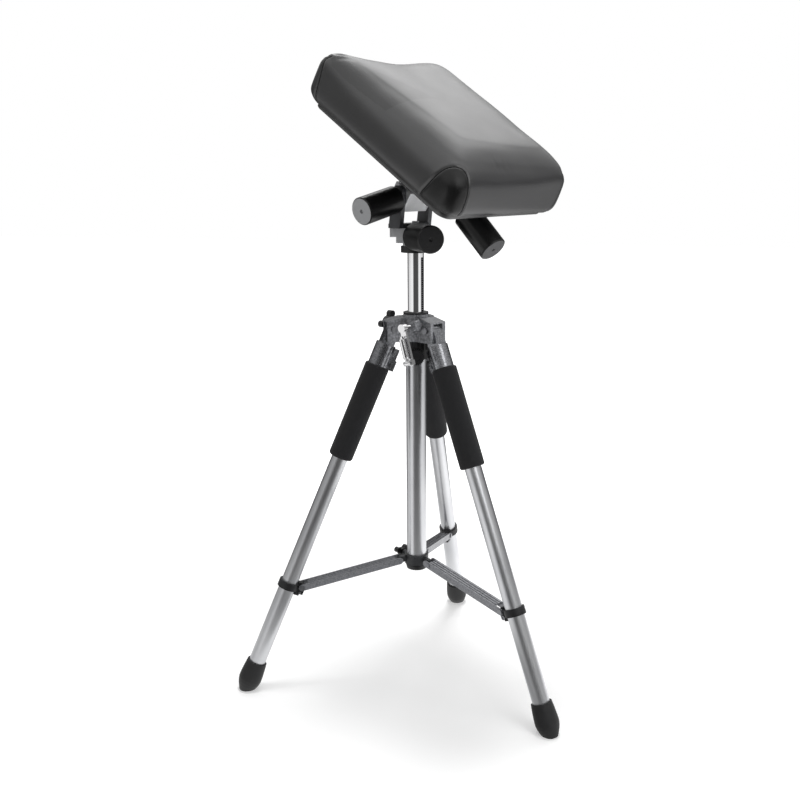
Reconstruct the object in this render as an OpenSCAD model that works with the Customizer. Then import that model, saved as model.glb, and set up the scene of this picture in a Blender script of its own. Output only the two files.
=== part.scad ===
// Arm rest stand on a folding tripod. Millimetres, +Z up, floor at zero.
// The origin lies on the floor at the middle of the footprint, and the mast stands behind it.

/* [Tripod] */
// Distance of each foot's point on the floor from the mast
foot_r = 270; // [250:1:300]
// Distance of the leg hinges from the mast
pivot_r = 35; // [33:0.5:38]
// Height of the leg hinges over the floor
pivot_z = 547.6; // [520:1:580]
// Place of the mast behind the middle of the footprint
mast_y = -45; // [-60:1:-30]
// Outer diameter of the leg tubes
leg_d = 25; // [24:0.5:26]
// Wall of the leg tubes
leg_wall = 1.5; // [1:0.1:2.5]
// Outer diameter of the foam grips
grip_d = 36.5; // [32:0.5:40]
// Length of the foam grips
grip_len = 149; // [100:1:160]
// Widest diameter of the rubber feet
foot_d = 35; // [31:0.5:38]
// Length of the rubber feet
foot_len = 47; // [40:1:55]
// Distance of the brace clamps from the floor, along the leg
clamp_t = 178; // [160:1:200]

/* [Mast] */
// Outer diameter of the centre tube
tube_d = 30; // [29:0.5:31]
// Wall of the centre tube
tube_wall = 1.5; // [1:0.1:1.7]
// Outer diameter of the lifting column
column_d = 24; // [23.5:0.1:24.5]
// Wall of the lifting column
column_wall = 2; // [1.5:0.1:2.5]
// Height of the column's upper end over the floor, as it stands
column_top = 664; // [640:1:700]
// Height of the spreader hub over the floor
hub_z = 187.5; // [180:0.5:200]

/* [Braces] */
// Width of the brace channels
brace_w = 18; // [17:0.5:20]
// Height of the brace channels
brace_h = 10; // [9:0.5:12]
// Sheet of the brace channels
brace_wall = 1.5; // [1.2:0.1:1.8]

/* [Lift] */
// Tooth module of rack and pinion
gear_module = 1; // [1:0.05:1.1]
// Teeth of the pinion
pinion_teeth = 12; // [12:1:13]
// Width of the rack and its slot
rack_w = 6; // [5:0.5:7]
// Length of the rack
rack_len = 340; // [320:1:345]
// Radius that the crank arm turns on
crank_arm_len = 50; // [40:1:52]

/* [Head] */
// Turn of the head about the mast
pan_angle = -27; // [-40:1:-15]
// Slope of the pad along its length
tilt_angle = 32.5; // [20:0.5:40]
// Height of the tilt axis over the floor
tilt_z = 742; // [735:1:755]
// Height of the side tilt axis over the tilt axis
roll_h = 30; // [29:0.5:32]
// Diameter of the three lock handles
handle_d = 38.5; // [34:0.5:40]
// Length of the three lock handles
handle_len = 68; // [55:1:72]
// Downward slope of the tilt handle
tilt_handle_dip = 12.5; // [10:0.5:14]
// Downward slope of the side tilt handle against the pad
side_handle_dip = 11.5; // [9:0.5:13]
// Place of the fork to the side of the mast
fork_side = -4.5; // [-6:0.5:0]

/* [Pad] */
// Length of the pad
pad_len = 308; // [260:1:360]
// Width of the pad
pad_w = 236; // [190:1:240]
// Thickness of the pad
pad_h = 80; // [60:1:90]
// Radius of the pad's upright corners
pad_corner_r = 24; // [20:1:40]
// Thickness of the board under the cushion
board_t = 9; // [6:0.5:12]

/* [Hidden] */

$fn = 64;
// Overrun of a cutting tool past the face that it cuts
over = 1;
// Gap between pieces that move past each other
gap = 0.3;
// Gap of a pin or shaft in its bore
run = 0.05;
// Gap between a screw's head and what it holds down
seat = 0.02;

// Tripod, worked out
left_az = 210;
right_az = 330;
back_az = 90;
leg_azimuths = [left_az, right_az, back_az];
leg_slope = atan((foot_r - pivot_r) / pivot_z);
leg_len = norm([foot_r - pivot_r, pivot_z]);
leg_r = leg_d / 2;
tube_r = tube_d / 2;
column_r = column_d / 2;

// Leg ends
foot_floor_t = 8;
foot_tip_t = -3;
foot_rim = 2.6;
foot_rim_r = leg_r + foot_rim;
foot_tip_r = 10;
knuckle_r = 9;
knuckle_w = 18;
knuckle_depth = 22;
sleeve_wall = 2.5;
sleeve_r = leg_r + sleeve_wall;
sleeve_len = 33;
sleeve_roof = 6;
neck_relief = 1;
neck_short = 2;
grip_below = 57.9;
grip_top_t = leg_len - grip_below;
grip_bottom_t = grip_top_t - grip_len;
grip_round = 3;
tube_top_t = grip_top_t + sleeve_len - sleeve_roof;
pivot_pin_r = 3;
pivot_pin_head_r = 5;
pivot_pin_head_t = 2.5;
ear_w = 10;
ear_reach = 9;
ear_len = 16;
ear_drop = 2;
fin_w = 7;
fin_reach = 7;
fin_len = 29;
fin_up = 2;
ear_slit = 1.6;
screw_r = 2;
screw_head_r = 3.6;
screw_head_t = 2.2;
hex_across_share = 0.55;
hex_sides = 6;

// Brace clamp on the leg and the brace between clamp and hub
clamp_wall = 3;
clamp_h = 11;
clamp_drop = 6.5;
brace_pin_up = 3;
tongue_w = 9;
tongue_r = 5.5;
tongue_foot = 3;
tongue_root = 2;
brace_pin_stand = 7.5;
brace_pin_off = leg_r + brace_pin_stand;
brace_pin_r = 2.5;
brace_pin_head_r = 4;
brace_pin_head_t = 1.2;
hub_pivot_r = 25;
hub_stub_r = 2;
hub_rivet_off = 9;
clamp_point = [
    foot_r - (clamp_t + brace_pin_up) * sin(leg_slope) - brace_pin_off * cos(leg_slope),
    (clamp_t + brace_pin_up) * cos(leg_slope) - brace_pin_off * sin(leg_slope)
];
brace_run = clamp_point[0] - hub_pivot_r;
brace_rise = hub_z - clamp_point[1];
brace_len = norm([brace_run, brace_rise]);
brace_slope = atan(brace_rise / brace_run);
brace_end_r = brace_h / 2;
brace_web_start = 11;
brace_web_end = 9.5;
brace_hub_stop = 1.5;
rib_w = 2;
rib_h = 0.8;
rib_shares = [-0.28, 0, 0.28];

// Spreader hub
hub_h = 15;
hub_wall = 3;
hub_r = tube_r + gap + hub_wall;
hub_tongue_w = 6;
hub_tongue_r = 4.5;
hub_knob_az = 150;
hub_boss_r = 5;
hub_boss_len = 9;
end_cap_h = 7;
end_cap_lip = 2;
end_cap_r = tube_r + end_cap_lip;
end_plug_h = 12;
tube_end_below = 1;
tube_bottom = hub_z - hub_h / 2 - gap - tube_end_below;

// Casting
cast_down = 18.6;
cast_shoulder_up = 11;
cast_up = 20.4;
cast_bottom = pivot_z - cast_down;
cast_shoulder = pivot_z + cast_shoulder_up;
cast_top = pivot_z + cast_up;
cast_shoulder_lip = 2;
cast_core_r = 22;
cast_neck_r = 17.5;
lug_w = 30;
lug_reach = 11;
lug_out = pivot_r + lug_reach;
lug_in = 12;
lug_up = 11.5;
lug_top_out = pivot_z + lug_up;
lug_shoulder_r = 24;
lug_shoulder_up = 16.5;
lug_shoulder_z = pivot_z + lug_shoulder_up;
pocket_room = 1;
pocket_roof_room = 0.5;
pocket_in = pivot_r - knuckle_r - pocket_room;
pocket_top = pivot_z + knuckle_r + pocket_roof_room;
pocket_w = knuckle_w + 2 * gap;
socket_depth = 16;
bushing_wall = 3;
bushing_r = column_r + bushing_wall;
bushing_h = 5;
bushing_lip = 3.5;
bushing_flange_r = bushing_r + bushing_lip;
bushing_flange_h = 2.5;
cast_bore_room = 1;
cast_bore_r = column_r + cast_bore_room;

// Crank drive
crank_az = 250;
crank_up = 6.4;
crank_z = pivot_z + crank_up;
pitch_r = gear_module * pinion_teeth / 2;
addendum = gear_module;
dedendum = 1.25 * gear_module;
tooth_pitch = PI * gear_module;
rack_inset = 0.1;
rack_spine = 1.8;
rack_tip_y = sqrt(column_r * column_r - rack_w * rack_w / 4) - rack_inset;
rack_pitch_y = rack_tip_y - addendum;
rack_root_y = rack_pitch_y - dedendum;
rack_back_y = rack_root_y - rack_spine;
mesh_gap = 0.1;
shaft_y = rack_pitch_y + pitch_r + mesh_gap;
pinion_w = rack_w - 2 * gap;
shaft_r = 3.2;
shaft_tail = 11;
boss_out = 33;
boss_root_r = 9;
boss_tip_r = 7;
boss_taper = 10;
crank_in = 50;
crank_hub_r = 6;
crank_hub_h = 8;
crank_arm_w = 9;
crank_arm_t = 4;
crank_lean = 16;
crank_fork_r = 3.5;
crank_pin_r = 1.5;
crank_pin_len = 13;
crank_grip_r = 4.6;
crank_grip_neck_r = 2.6;
crank_grip_len = 34;
crank_grip_neck = 5;
crank_grip_taper = 4;
crank_grip_stand = 3.6;
crank_grip_off = crank_arm_t + crank_grip_stand;
crank_bore_depth = 3;
crank_shaft_seat = 2;
crank_cheek_t = 2.4;
crank_cheek_in = 1.5;
crank_eye_ease = 0.2;
crank_eye_w = 7;
tooth_share = 0.44;
flank = 0.36;

// Lock knobs on casting, collar and hub
lock_az = 150;
lock_up = 1.7;
lock_z = pivot_z + lock_up;
lock_boss_r = 7;
lock_boss_out = 38;
lock_knob_in = 55;
lock_knob_turn = 201;
knob_lobes = 3;
lock_lobe_ring = 13;
lock_lobe_r = 5;
lock_knob_r = 9;
lock_knob_h = 9;
lock_skirt_h = 6;
lock_skirt_r = 6;
lock_knob_seat = 2;
lock_screw_r = 3;
drag_az = 288;
collar_h = 27;
collar_top = cast_bottom - gap;
collar_wall = 3.2;
collar_r = tube_r + collar_wall;
collar_ribs = 20;
collar_rib_r = 1.1;
collar_rib_h = 13;
drag_drop = 21;
drag_z = collar_top - drag_drop;
drag_boss_r = 6;
drag_boss_out = 22;
drag_knob_r = 10.5;
drag_knob_h = 9;
drag_knob_in = 24;
drag_knob_cap = 3;
drag_dish = 1.2;
drag_ridges = 24;
drag_ridge_r = 0.8;
hub_knob_in = 30;
hub_lobe_ring = 9.5;
hub_lobe_r = 4.2;
hub_knob_core_r = 6;
hub_knob_h = 8;
hub_knob_cap = 2;
hub_screw_r = 2.5;

// Head
collar_cap_r = 21.4;
collar_cap_h = 9;
collar_plug_len = 13.7;
pan_pivot_r = 8;
pan_pivot_h = 20;
pan_base_r = 18.5;
pan_base_up = 2.3;
pan_base_bottom = column_top + pan_base_up;
collar_cap_z = pan_base_bottom - gap - collar_cap_h;
pan_base_h = 26;
pan_top = pan_base_bottom + pan_base_h;
pan_post_r = 5;
pan_post_h = 9;
pan_lug_turn = 226;
pan_lug_az = pan_angle + pan_lug_turn;
pan_lug_low_out = 28;
pan_lug_high_out = 37;
pan_lug_w = 15;
pan_lug_low_z = 4;
pan_lug_high_z = 13;
pan_handle_turn = -28;
pan_handle_az = pan_angle + pan_handle_turn;
pan_handle_side = -8.4;
pan_handle_in = 21.4;
pan_handle_up = 16.5;
pan_handle_z = column_top + pan_handle_up;
pan_boss_r = 9.5;
pan_rod_depth = 12;
pan_rod_room = 1;
yoke_base_r = 20;
yoke_base_h = 6;
yoke_base_z = pan_top + seat;
ear_in = 25;
ear_t = 8;
ear_half = 8;
ear_top_r = 10;
yoke_foot_half = 11;
yoke_lean = -7;
arm_slot_r = 2.2;
arm_slot_len = 7;
arm_slot_drop = 18;
axle_r = 4;
block_half = ear_in - gap;
block_r = 27;
block_flat = 16;
block_cap_r = 15;
block_long_half = 20;
block_shoulder = 8;
bracket_gap = gap;
bracket_ear_t = 6;
bracket_ear_half = 14;
bracket_ear_drop = 9;
plate_t = 4;
plate_len = 110;
plate_w = 64;
plate_hole_r = 2.6;
plate_hole_long = 43;
plate_hole_side = 22;
pad_under = 56.5;
pad_shift_long = 2.5;
pad_shift_side = -7;
rod_r = 4;
handle_edge = 1.5;
handle_dimple_r = 3;
handle_dimple_depth = 1.5;
handle_socket = 30;
tilt_handle_in = 42;
tilt_boss_in = 33.5;
tilt_boss_out = 41.5;
tilt_boss_r = 8;
tilt_rod_in = 39.3;
side_handle_in = 94.8;
side_handle_drop = 27.5;
side_rod_short = 2;

// Rack and column, from the collar down to the guide
guide_h = 18;
guide_clear = 13;
guide_flange_h = 3;
rack_top_z = column_top - collar_plug_len - gap;
column_len = column_top - rack_top_z + rack_len + guide_h + guide_clear;

// Cushion
board_inset = 13;
board_corner_r = 16;
board_gap = 0.3;
pocket_depth = board_t + gap;
ring_points = 64;
pad_crown = 3;
corner_lift = 6;
side_pull = 2.5;
edge_r = 27;
foot_edge_r = 12;
screw_length = 10;
board_hole_stop = 1;

// Moves into the frame of the mast
module at_mast() {
    translate([0, mast_y, 0])
        children();
}

// Frame of one leg: origin at the floor, +Z up along the leg, +X away from the mast
module at_leg(azimuth) {
    at_mast()
        rotate([0, 0, azimuth])
            translate([foot_r, 0, 0])
                rotate([0, -leg_slope, 0])
                    children();
}

// Frame of one brace: origin at the clamp's pin, +X towards the hub, +Z square to it, upwards
module at_brace(azimuth) {
    at_mast()
        rotate([0, 0, azimuth])
            translate([clamp_point[0], 0, clamp_point[1]])
                rotate([0, 0, 180])
                    rotate([0, -brace_slope, 0])
                        children();
}

// Frame that looks outwards from the mast: +Z points away from it at a height
module facing(azimuth, height) {
    at_mast()
        translate([0, 0, height])
            rotate([0, 0, azimuth])
                rotate([0, 90, 0])
                    children();
}

// Frame of the crank's shaft: +Z points out along the shaft
module at_crank() {
    at_mast()
        rotate([0, 0, crank_az])
            translate([0, shaft_y, crank_z])
                rotate([0, 90, 0])
                    children();
}

// Frame of the head that turns: +X along the pad, level, origin on the tilt axis
module at_pan() {
    at_mast()
        translate([0, 0, tilt_z])
            rotate([0, 0, pan_angle])
                children();
}

// Frame of the fork: the turning head's, moved to the side
module at_fork() {
    at_pan()
        translate([0, fork_side, 0])
            children();
}

// Frame of the block in the fork and of the bracket on it
module at_block() {
    at_tilt()
        translate([0, fork_side, 0])
            children();
}

// Frame of the head that tilts: +X down along the pad, +Z square to the pad
module at_tilt() {
    at_pan()
        rotate([0, tilt_angle, 0])
            children();
}

// Frame of the pad: origin at the middle of its underside
module at_pad() {
    at_tilt()
        translate([pad_shift_long, pad_shift_side, pad_under])
            children();
}

module ring(outer_r, inner_r, height) {
    difference() {
        cylinder(r = outer_r, h = height);
        translate([0, 0, -over])
            cylinder(r = inner_r, h = height + 2 * over);
    }
}

// A pan-head screw: head above zero, shank below it
module screw(shank_r, shank_len, head_r, head_t) {
    difference() {
        union() {
            cylinder(r = head_r, h = head_t);
            translate([0, 0, -shank_len])
                cylinder(r = shank_r, h = shank_len + head_t / 2);
        }
        translate([0, 0, head_t / 2])
            cylinder(r = head_r * hex_across_share, h = head_t, $fn = hex_sides);
    }
}

// A knob with round lobes about a core
module lobed_knob(lobe_ring, lobe_r, core_r, height) {
    linear_extrude(height)
        union() {
            circle(r = core_r);
            for (i = [0 : knob_lobes - 1])
                rotate([0, 0, i * 360 / knob_lobes])
                    union() {
                        translate([lobe_ring, 0])
                            circle(r = lobe_r, $fn = 32);
                        translate([0, -lobe_r * 0.8])
                            square([lobe_ring, lobe_r * 1.6]);
                    }
        }
}

// Casting that carries the legs, the column and the crank
module lug_profile() {
    polygon([
        [lug_in, cast_bottom],
        [lug_out, cast_bottom],
        [lug_out, lug_top_out],
        [lug_shoulder_r, lug_shoulder_z],
        [lug_in, lug_shoulder_z]
    ]);
}

module lug() {
    rotate([90, 0, 0])
        translate([0, 0, -lug_w / 2])
            linear_extrude(lug_w)
                lug_profile();
}

module lug_pocket() {
    translate([pocket_in, -pocket_w / 2, cast_bottom - over])
        cube([lug_out - pocket_in + over, pocket_w, pocket_top - cast_bottom + over]);
}

module crank_boss() {
    rotate([0, 0, crank_az])
        translate([0, shaft_y, crank_z])
            rotate([0, 90, 0])
                union() {
                    cylinder(r = boss_root_r, h = boss_out - boss_taper);
                    translate([0, 0, boss_out - boss_taper])
                        cylinder(r1 = boss_root_r, r2 = boss_tip_r, h = boss_taper);
                }
}

module crank_bores() {
    rotate([0, 0, crank_az])
        translate([0, shaft_y, crank_z])
            rotate([0, 90, 0])
                union() {
                    translate([0, 0, -pinion_w / 2 - gap])
                        cylinder(r = pitch_r + addendum + gap, h = pinion_w + 2 * gap);
                    translate([0, 0, -shaft_tail - gap])
                        cylinder(r = shaft_r + run, h = boss_out + shaft_tail + gap + over);
                }
}

module cast_spider() {
    color("dimgray")
    at_mast()
        difference() {
            union() {
                translate([0, 0, cast_bottom])
                    cylinder(r = cast_core_r, h = cast_shoulder - cast_bottom);
                translate([0, 0, cast_shoulder])
                    cylinder(r1 = cast_core_r + cast_shoulder_lip, r2 = cast_neck_r, h = cast_top - cast_shoulder);
                for (azimuth = leg_azimuths)
                    rotate([0, 0, azimuth])
                        lug();
                crank_boss();
                rotate([0, 0, lock_az])
                    translate([0, 0, lock_z])
                        rotate([0, 90, 0])
                            cylinder(r = lock_boss_r, h = lock_boss_out);
            }
            translate([0, 0, cast_bottom - over])
                cylinder(r = cast_bore_r, h = cast_top - cast_bottom + 2 * over);
            translate([0, 0, cast_bottom - over])
                cylinder(r = tube_r + run, h = socket_depth + over);
            translate([0, 0, cast_top - bushing_h])
                cylinder(r = bushing_r + run, h = bushing_h + over);
            for (azimuth = leg_azimuths)
                rotate([0, 0, azimuth])
                    union() {
                        lug_pocket();
                        translate([pivot_r, lug_w / 2 + over, pivot_z])
                            rotate([90, 0, 0])
                                cylinder(r = pivot_pin_r, h = lug_w + 2 * over);
                    }
            crank_bores();
            rotate([0, 0, lock_az])
                translate([0, 0, lock_z])
                    rotate([0, 90, 0])
                        cylinder(r = lock_screw_r + run, h = lock_boss_out + over);
        }
}

module leg_pivot_pins() {
    color("silver")
    at_mast()
        for (azimuth = leg_azimuths)
            rotate([0, 0, azimuth])
                translate([pivot_r, 0, pivot_z])
                    rotate([90, 0, 0])
                        union() {
                            translate([0, 0, -lug_w / 2])
                                cylinder(r = pivot_pin_r, h = lug_w);
                            for (side = [-1, 1])
                                translate([0, 0, side * (lug_w / 2 + pivot_pin_head_t / 2)])
                                    cylinder(r = pivot_pin_head_r, h = pivot_pin_head_t, center = true);
                        }
}

module centre_tube() {
    color("silver")
    at_mast()
        difference() {
            translate([0, 0, tube_bottom])
                ring(tube_r, tube_r - tube_wall, cast_bottom + socket_depth - tube_bottom);
            rotate([0, 0, drag_az])
                translate([0, 0, drag_z])
                    rotate([0, 90, 0])
                        cylinder(r = lock_screw_r + gap, h = tube_d);
        }
}

module neck_collar() {
    color("black")
    at_mast()
        difference() {
            union() {
                translate([0, 0, collar_top - collar_h])
                    cylinder(r = collar_r, h = collar_h);
                for (i = [0 : collar_ribs - 1])
                    rotate([0, 0, i * 360 / collar_ribs])
                        translate([collar_r, 0, collar_top - collar_rib_h])
                            cylinder(r = collar_rib_r, h = collar_rib_h, $fn = 16);
                rotate([0, 0, drag_az])
                    translate([0, 0, drag_z])
                        rotate([0, 90, 0])
                            cylinder(r = drag_boss_r, h = drag_boss_out);
            }
            translate([0, 0, collar_top - collar_h - over])
                cylinder(r = tube_r + run, h = collar_h + 2 * over);
            rotate([0, 0, drag_az])
                translate([0, 0, drag_z])
                    rotate([0, 90, 0])
                        cylinder(r = lock_screw_r + run, h = drag_boss_out + over);
        }
}

module tube_end_cap() {
    color("black")
    at_mast()
        union() {
            translate([0, 0, tube_bottom - end_cap_h])
                cylinder(r1 = end_cap_r - end_cap_lip, r2 = end_cap_r, h = end_cap_h);
            translate([0, 0, tube_bottom - over])
                cylinder(r = tube_r - tube_wall - run, h = end_plug_h + over);
        }
}

module top_bushing() {
    color("black")
    at_mast()
        difference() {
            union() {
                translate([0, 0, cast_top - bushing_h])
                    cylinder(r = bushing_r, h = bushing_h);
                translate([0, 0, cast_top])
                    cylinder(r = bushing_flange_r, h = bushing_flange_h);
            }
            translate([0, 0, cast_top - bushing_h - over])
                cylinder(r = column_r + run, h = bushing_h + bushing_flange_h + 2 * over);
        }
}

// Lifting column, its rack and its guide
module column_tube() {
    color("gainsboro")
    at_mast()
        difference() {
            translate([0, 0, column_top - column_len])
                ring(column_r, column_r - column_wall, column_len);
            rotate([0, 0, crank_az])
                translate([-rack_w / 2, 0, rack_top_z - rack_len])
                    cube([rack_w, column_d, rack_len]);
        }
}

rack_teeth = floor(rack_len / tooth_pitch);
rack_first_z = crank_z - ceil((crank_z - rack_top_z + rack_len) / tooth_pitch - 1) * tooth_pitch;

module column_rack() {
    tip_half = tooth_pitch * tooth_share / 2 - flank * addendum;
    root_half = tooth_pitch * tooth_share / 2 + flank * dedendum;
    color("gray")
    at_mast()
        rotate([0, 0, crank_az])
            translate([-rack_w / 2 + run, 0, 0])
                rotate([90, 0, 90])
                    linear_extrude(rack_w - 2 * run)
                        polygon(concat(
                            [[rack_back_y, rack_top_z - rack_len], [rack_root_y, rack_top_z - rack_len]],
                            [for (i = [0 : rack_teeth - 2]) each [
                                [rack_root_y, rack_first_z + (i + 0.5) * tooth_pitch - root_half],
                                [rack_tip_y, rack_first_z + (i + 0.5) * tooth_pitch - tip_half],
                                [rack_tip_y, rack_first_z + (i + 0.5) * tooth_pitch + tip_half],
                                [rack_root_y, rack_first_z + (i + 0.5) * tooth_pitch + root_half]
                            ]],
                            [[rack_root_y, rack_top_z], [rack_back_y, rack_top_z]]
                        ));
}

module column_guide() {
    guide_r = tube_r - tube_wall - gap;
    color("black")
    at_mast()
        translate([0, 0, column_top - column_len])
            union() {
                translate([0, 0, -guide_flange_h])
                    cylinder(r = guide_r, h = guide_flange_h);
                cylinder(r = column_r - column_wall - run, h = guide_h);
            }
}

module column_collar() {
    color("black")
    at_mast()
        union() {
            difference() {
                translate([0, 0, collar_cap_z])
                    cylinder(r = collar_cap_r, h = collar_cap_h);
                translate([0, 0, collar_cap_z - over])
                    cylinder(r = column_r + run, h = column_top - collar_cap_z + over);
            }
            translate([0, 0, column_top - collar_plug_len])
                cylinder(r = column_r - column_wall - run, h = collar_plug_len + over);
            translate([0, 0, column_top])
                cylinder(r = pan_pivot_r, h = pan_base_up + pan_pivot_h);
        }
}

module pan_base() {
    color("darkgray")
    at_mast()
        difference() {
            union() {
                translate([0, 0, pan_base_bottom])
                    cylinder(r = pan_base_r, h = pan_base_h);
                translate([0, 0, pan_top])
                    cylinder(r = pan_post_r, h = pan_post_h);
                rotate([0, 0, pan_lug_az])
                    union() {
                        translate([0, -pan_lug_w / 2, pan_base_bottom + pan_lug_low_z])
                            cube([pan_lug_low_out, pan_lug_w, pan_base_h - pan_lug_low_z]);
                        translate([0, -pan_lug_w / 2, pan_base_bottom + pan_lug_high_z])
                            cube([pan_lug_high_out, pan_lug_w, pan_base_h - pan_lug_high_z]);
                    }
                rotate([0, 0, pan_handle_az])
                    translate([0, pan_handle_side, pan_handle_z])
                        rotate([0, 90, 0])
                            cylinder(r = pan_boss_r, h = pan_handle_in - seat);
            }
            translate([0, 0, pan_base_bottom - over])
                cylinder(r = pan_pivot_r + run, h = pan_pivot_h + gap + over);
            rotate([0, 0, pan_handle_az])
                translate([pan_handle_in - pan_rod_depth - pan_rod_room, pan_handle_side, pan_handle_z])
                    rotate([0, 90, 0])
                        cylinder(r = rod_r + run, h = handle_len);
        }
}

// Crank drive, drawn along the shaft
module drive_pinion() {
    tip_r = pitch_r + addendum;
    root_r = pitch_r - dedendum;
    tooth_half = tooth_pitch * tooth_share / 2;
    color("gray")
    at_crank()
        difference() {
            translate([0, 0, -pinion_w / 2])
                linear_extrude(pinion_w)
                    rotate([0, 0, -90])
                        polygon([for (i = [0 : pinion_teeth - 1]) each [
                            for (corner = [
                                [root_r, -tooth_half * 1.3], [pitch_r, -tooth_half * 0.9],
                                [tip_r, -tooth_half * 0.45], [tip_r, tooth_half * 0.45],
                                [pitch_r, tooth_half * 0.9], [root_r, tooth_half * 1.3]
                            ])
                            let (angle = i * 360 / pinion_teeth)
                            [corner[0] * cos(angle) - corner[1] * sin(angle),
                             corner[0] * sin(angle) + corner[1] * cos(angle)]
                        ]]);
            translate([0, 0, -pinion_w])
                cylinder(r = shaft_r, h = 2 * pinion_w);
        }
}

module crank_shaft() {
    color("gainsboro")
    at_crank()
        translate([0, 0, -shaft_tail])
            cylinder(r = shaft_r, h = shaft_tail + crank_in + crank_shaft_seat);
}

module crank_arm() {
    color("gainsboro")
    at_crank()
        difference() {
            union() {
                translate([0, 0, crank_in])
                    cylinder(r = crank_hub_r, h = crank_hub_h);
                rotate([0, 0, crank_lean])
                    translate([0, 0, crank_in + crank_hub_h / 2 - crank_arm_t / 2])
                        linear_extrude(crank_arm_t)
                            union() {
                                translate([0, -crank_arm_w / 2])
                                    square([crank_arm_len, crank_arm_w]);
                                translate([crank_arm_len, 0])
                                    circle(r = crank_arm_w / 2);
                            }
                rotate([0, 0, crank_lean])
                    for (side = [-1, 1])
                        translate([crank_arm_len, side * (crank_pin_len / 2 - crank_cheek_in), crank_in + crank_hub_h / 2])
                            rotate([90, 0, 0])
                                linear_extrude(crank_cheek_t, center = true)
                                    union() {
                                        translate([0, crank_grip_off])
                                            circle(r = crank_fork_r, $fn = 32);
                                        translate([-crank_fork_r, -crank_arm_t / 2])
                                            square([2 * crank_fork_r, crank_grip_off + crank_arm_t / 2]);
                                    }
            }
            translate([0, 0, crank_in - over])
                cylinder(r = shaft_r, h = crank_bore_depth + over);
            rotate([0, 0, crank_lean])
                translate([crank_arm_len, 0, crank_in + crank_hub_h / 2 + crank_grip_off])
                    rotate([90, 0, 0])
                        cylinder(r = crank_pin_r, h = crank_pin_len + 4 * over, center = true);
        }
}

module crank_hinge_pin() {
    color("silver")
    at_crank()
        rotate([0, 0, crank_lean])
            translate([crank_arm_len, 0, crank_in + crank_hub_h / 2 + crank_grip_off])
                rotate([90, 0, 0])
                    cylinder(r = crank_pin_r, h = crank_pin_len, center = true);
}

module crank_handle() {
    color("gainsboro")
    at_crank()
        rotate([0, 0, crank_lean])
            translate([crank_arm_len, 0, crank_in + crank_hub_h / 2 + crank_grip_off])
                difference() {
                    rotate([0, -90, 0])
                        union() {
                            cylinder(r = crank_grip_neck_r, h = crank_grip_neck + over);
                            translate([0, 0, crank_grip_neck])
                                cylinder(r1 = crank_grip_neck_r, r2 = crank_grip_r, h = crank_grip_taper);
                            translate([0, 0, crank_grip_neck + crank_grip_taper])
                                cylinder(r = crank_grip_r, h = crank_grip_len - 2 * crank_grip_taper);
                            translate([0, 0, crank_grip_neck + crank_grip_len - crank_grip_taper])
                                cylinder(r1 = crank_grip_r, r2 = crank_grip_neck_r, h = crank_grip_taper);
                            rotate([90, 0, 0])
                                cylinder(r = crank_fork_r - crank_eye_ease, h = crank_eye_w, center = true);
                        }
                    rotate([90, 0, 0])
                        cylinder(r = crank_pin_r + run, h = crank_pin_len, center = true);
                }
}

module column_lock_knob() {
    color("black")
    facing(lock_az, lock_z)
        translate([0, 0, lock_knob_in])
            difference() {
                rotate([0, 0, lock_knob_turn])
                    union() {
                        lobed_knob(lock_lobe_ring, lock_lobe_r, lock_knob_r, lock_knob_h);
                        translate([0, 0, -lock_skirt_h])
                            cylinder(r1 = lock_skirt_r, r2 = lock_knob_r, h = lock_skirt_h);
                    }
                translate([0, 0, -lock_skirt_h - over])
                    cylinder(r = lock_screw_r, h = lock_skirt_h + lock_knob_seat + over);
            }
}

module column_lock_screw() {
    color("silver")
    facing(lock_az, lock_z)
        translate([0, 0, column_r + gap])
            cylinder(r = lock_screw_r, h = lock_knob_in - column_r - gap + lock_knob_seat);
}

module drag_knob() {
    color("black")
    facing(drag_az, drag_z)
        translate([0, 0, drag_knob_in])
            difference() {
                union() {
                    cylinder(r = drag_knob_r, h = drag_knob_h);
                    for (i = [0 : drag_ridges - 1])
                        rotate([0, 0, i * 360 / drag_ridges])
                            translate([drag_knob_r, 0, 0])
                                cylinder(r = drag_ridge_r, h = drag_knob_h, $fn = 12);
                }
                translate([0, 0, -over])
                    cylinder(r = lock_screw_r, h = drag_knob_h - drag_knob_cap + over);
                translate([0, 0, drag_knob_h - drag_dish])
                    cylinder(r = drag_knob_r * 0.6, h = drag_knob_h);
            }
}

module drag_screw() {
    color("silver")
    facing(drag_az, drag_z)
        translate([0, 0, column_r + gap])
            cylinder(r = lock_screw_r, h = drag_knob_in + drag_knob_h - drag_knob_cap - column_r - gap);
}

// One leg
module leg_tube(azimuth) {
    color("silver")
    at_leg(azimuth)
        translate([0, 0, foot_floor_t])
            ring(leg_r, leg_r - leg_wall, tube_top_t - foot_floor_t);
}

// Half outline of a rubber foot: a barrel from the tip to the rim
function foot_outline() = [for (i = [0 : 10])
    let (s = i / 10)
    [foot_tip_r + (foot_d / 2 - foot_tip_r) * sin(min(s * 2.2, 1) * 90)
        - (foot_d / 2 - foot_rim_r) * pow(max(s - 0.45, 0) / 0.55, 1.4),
     foot_tip_t + s * (foot_len - foot_tip_t)]];

module rubber_foot(azimuth) {
    color("#202020")
    difference() {
        at_leg(azimuth)
            rotate_extrude()
                polygon(concat(
                    [[0, foot_tip_t]],
                    foot_outline(),
                    [[leg_r + run, foot_len], [leg_r + run, foot_floor_t], [0, foot_floor_t]]
                ));
        at_mast()
            rotate([0, 0, azimuth])
                translate([foot_r - foot_d, -foot_d, -foot_d])
                    cube([2 * foot_d, 2 * foot_d, foot_d]);
    }
}

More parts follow.
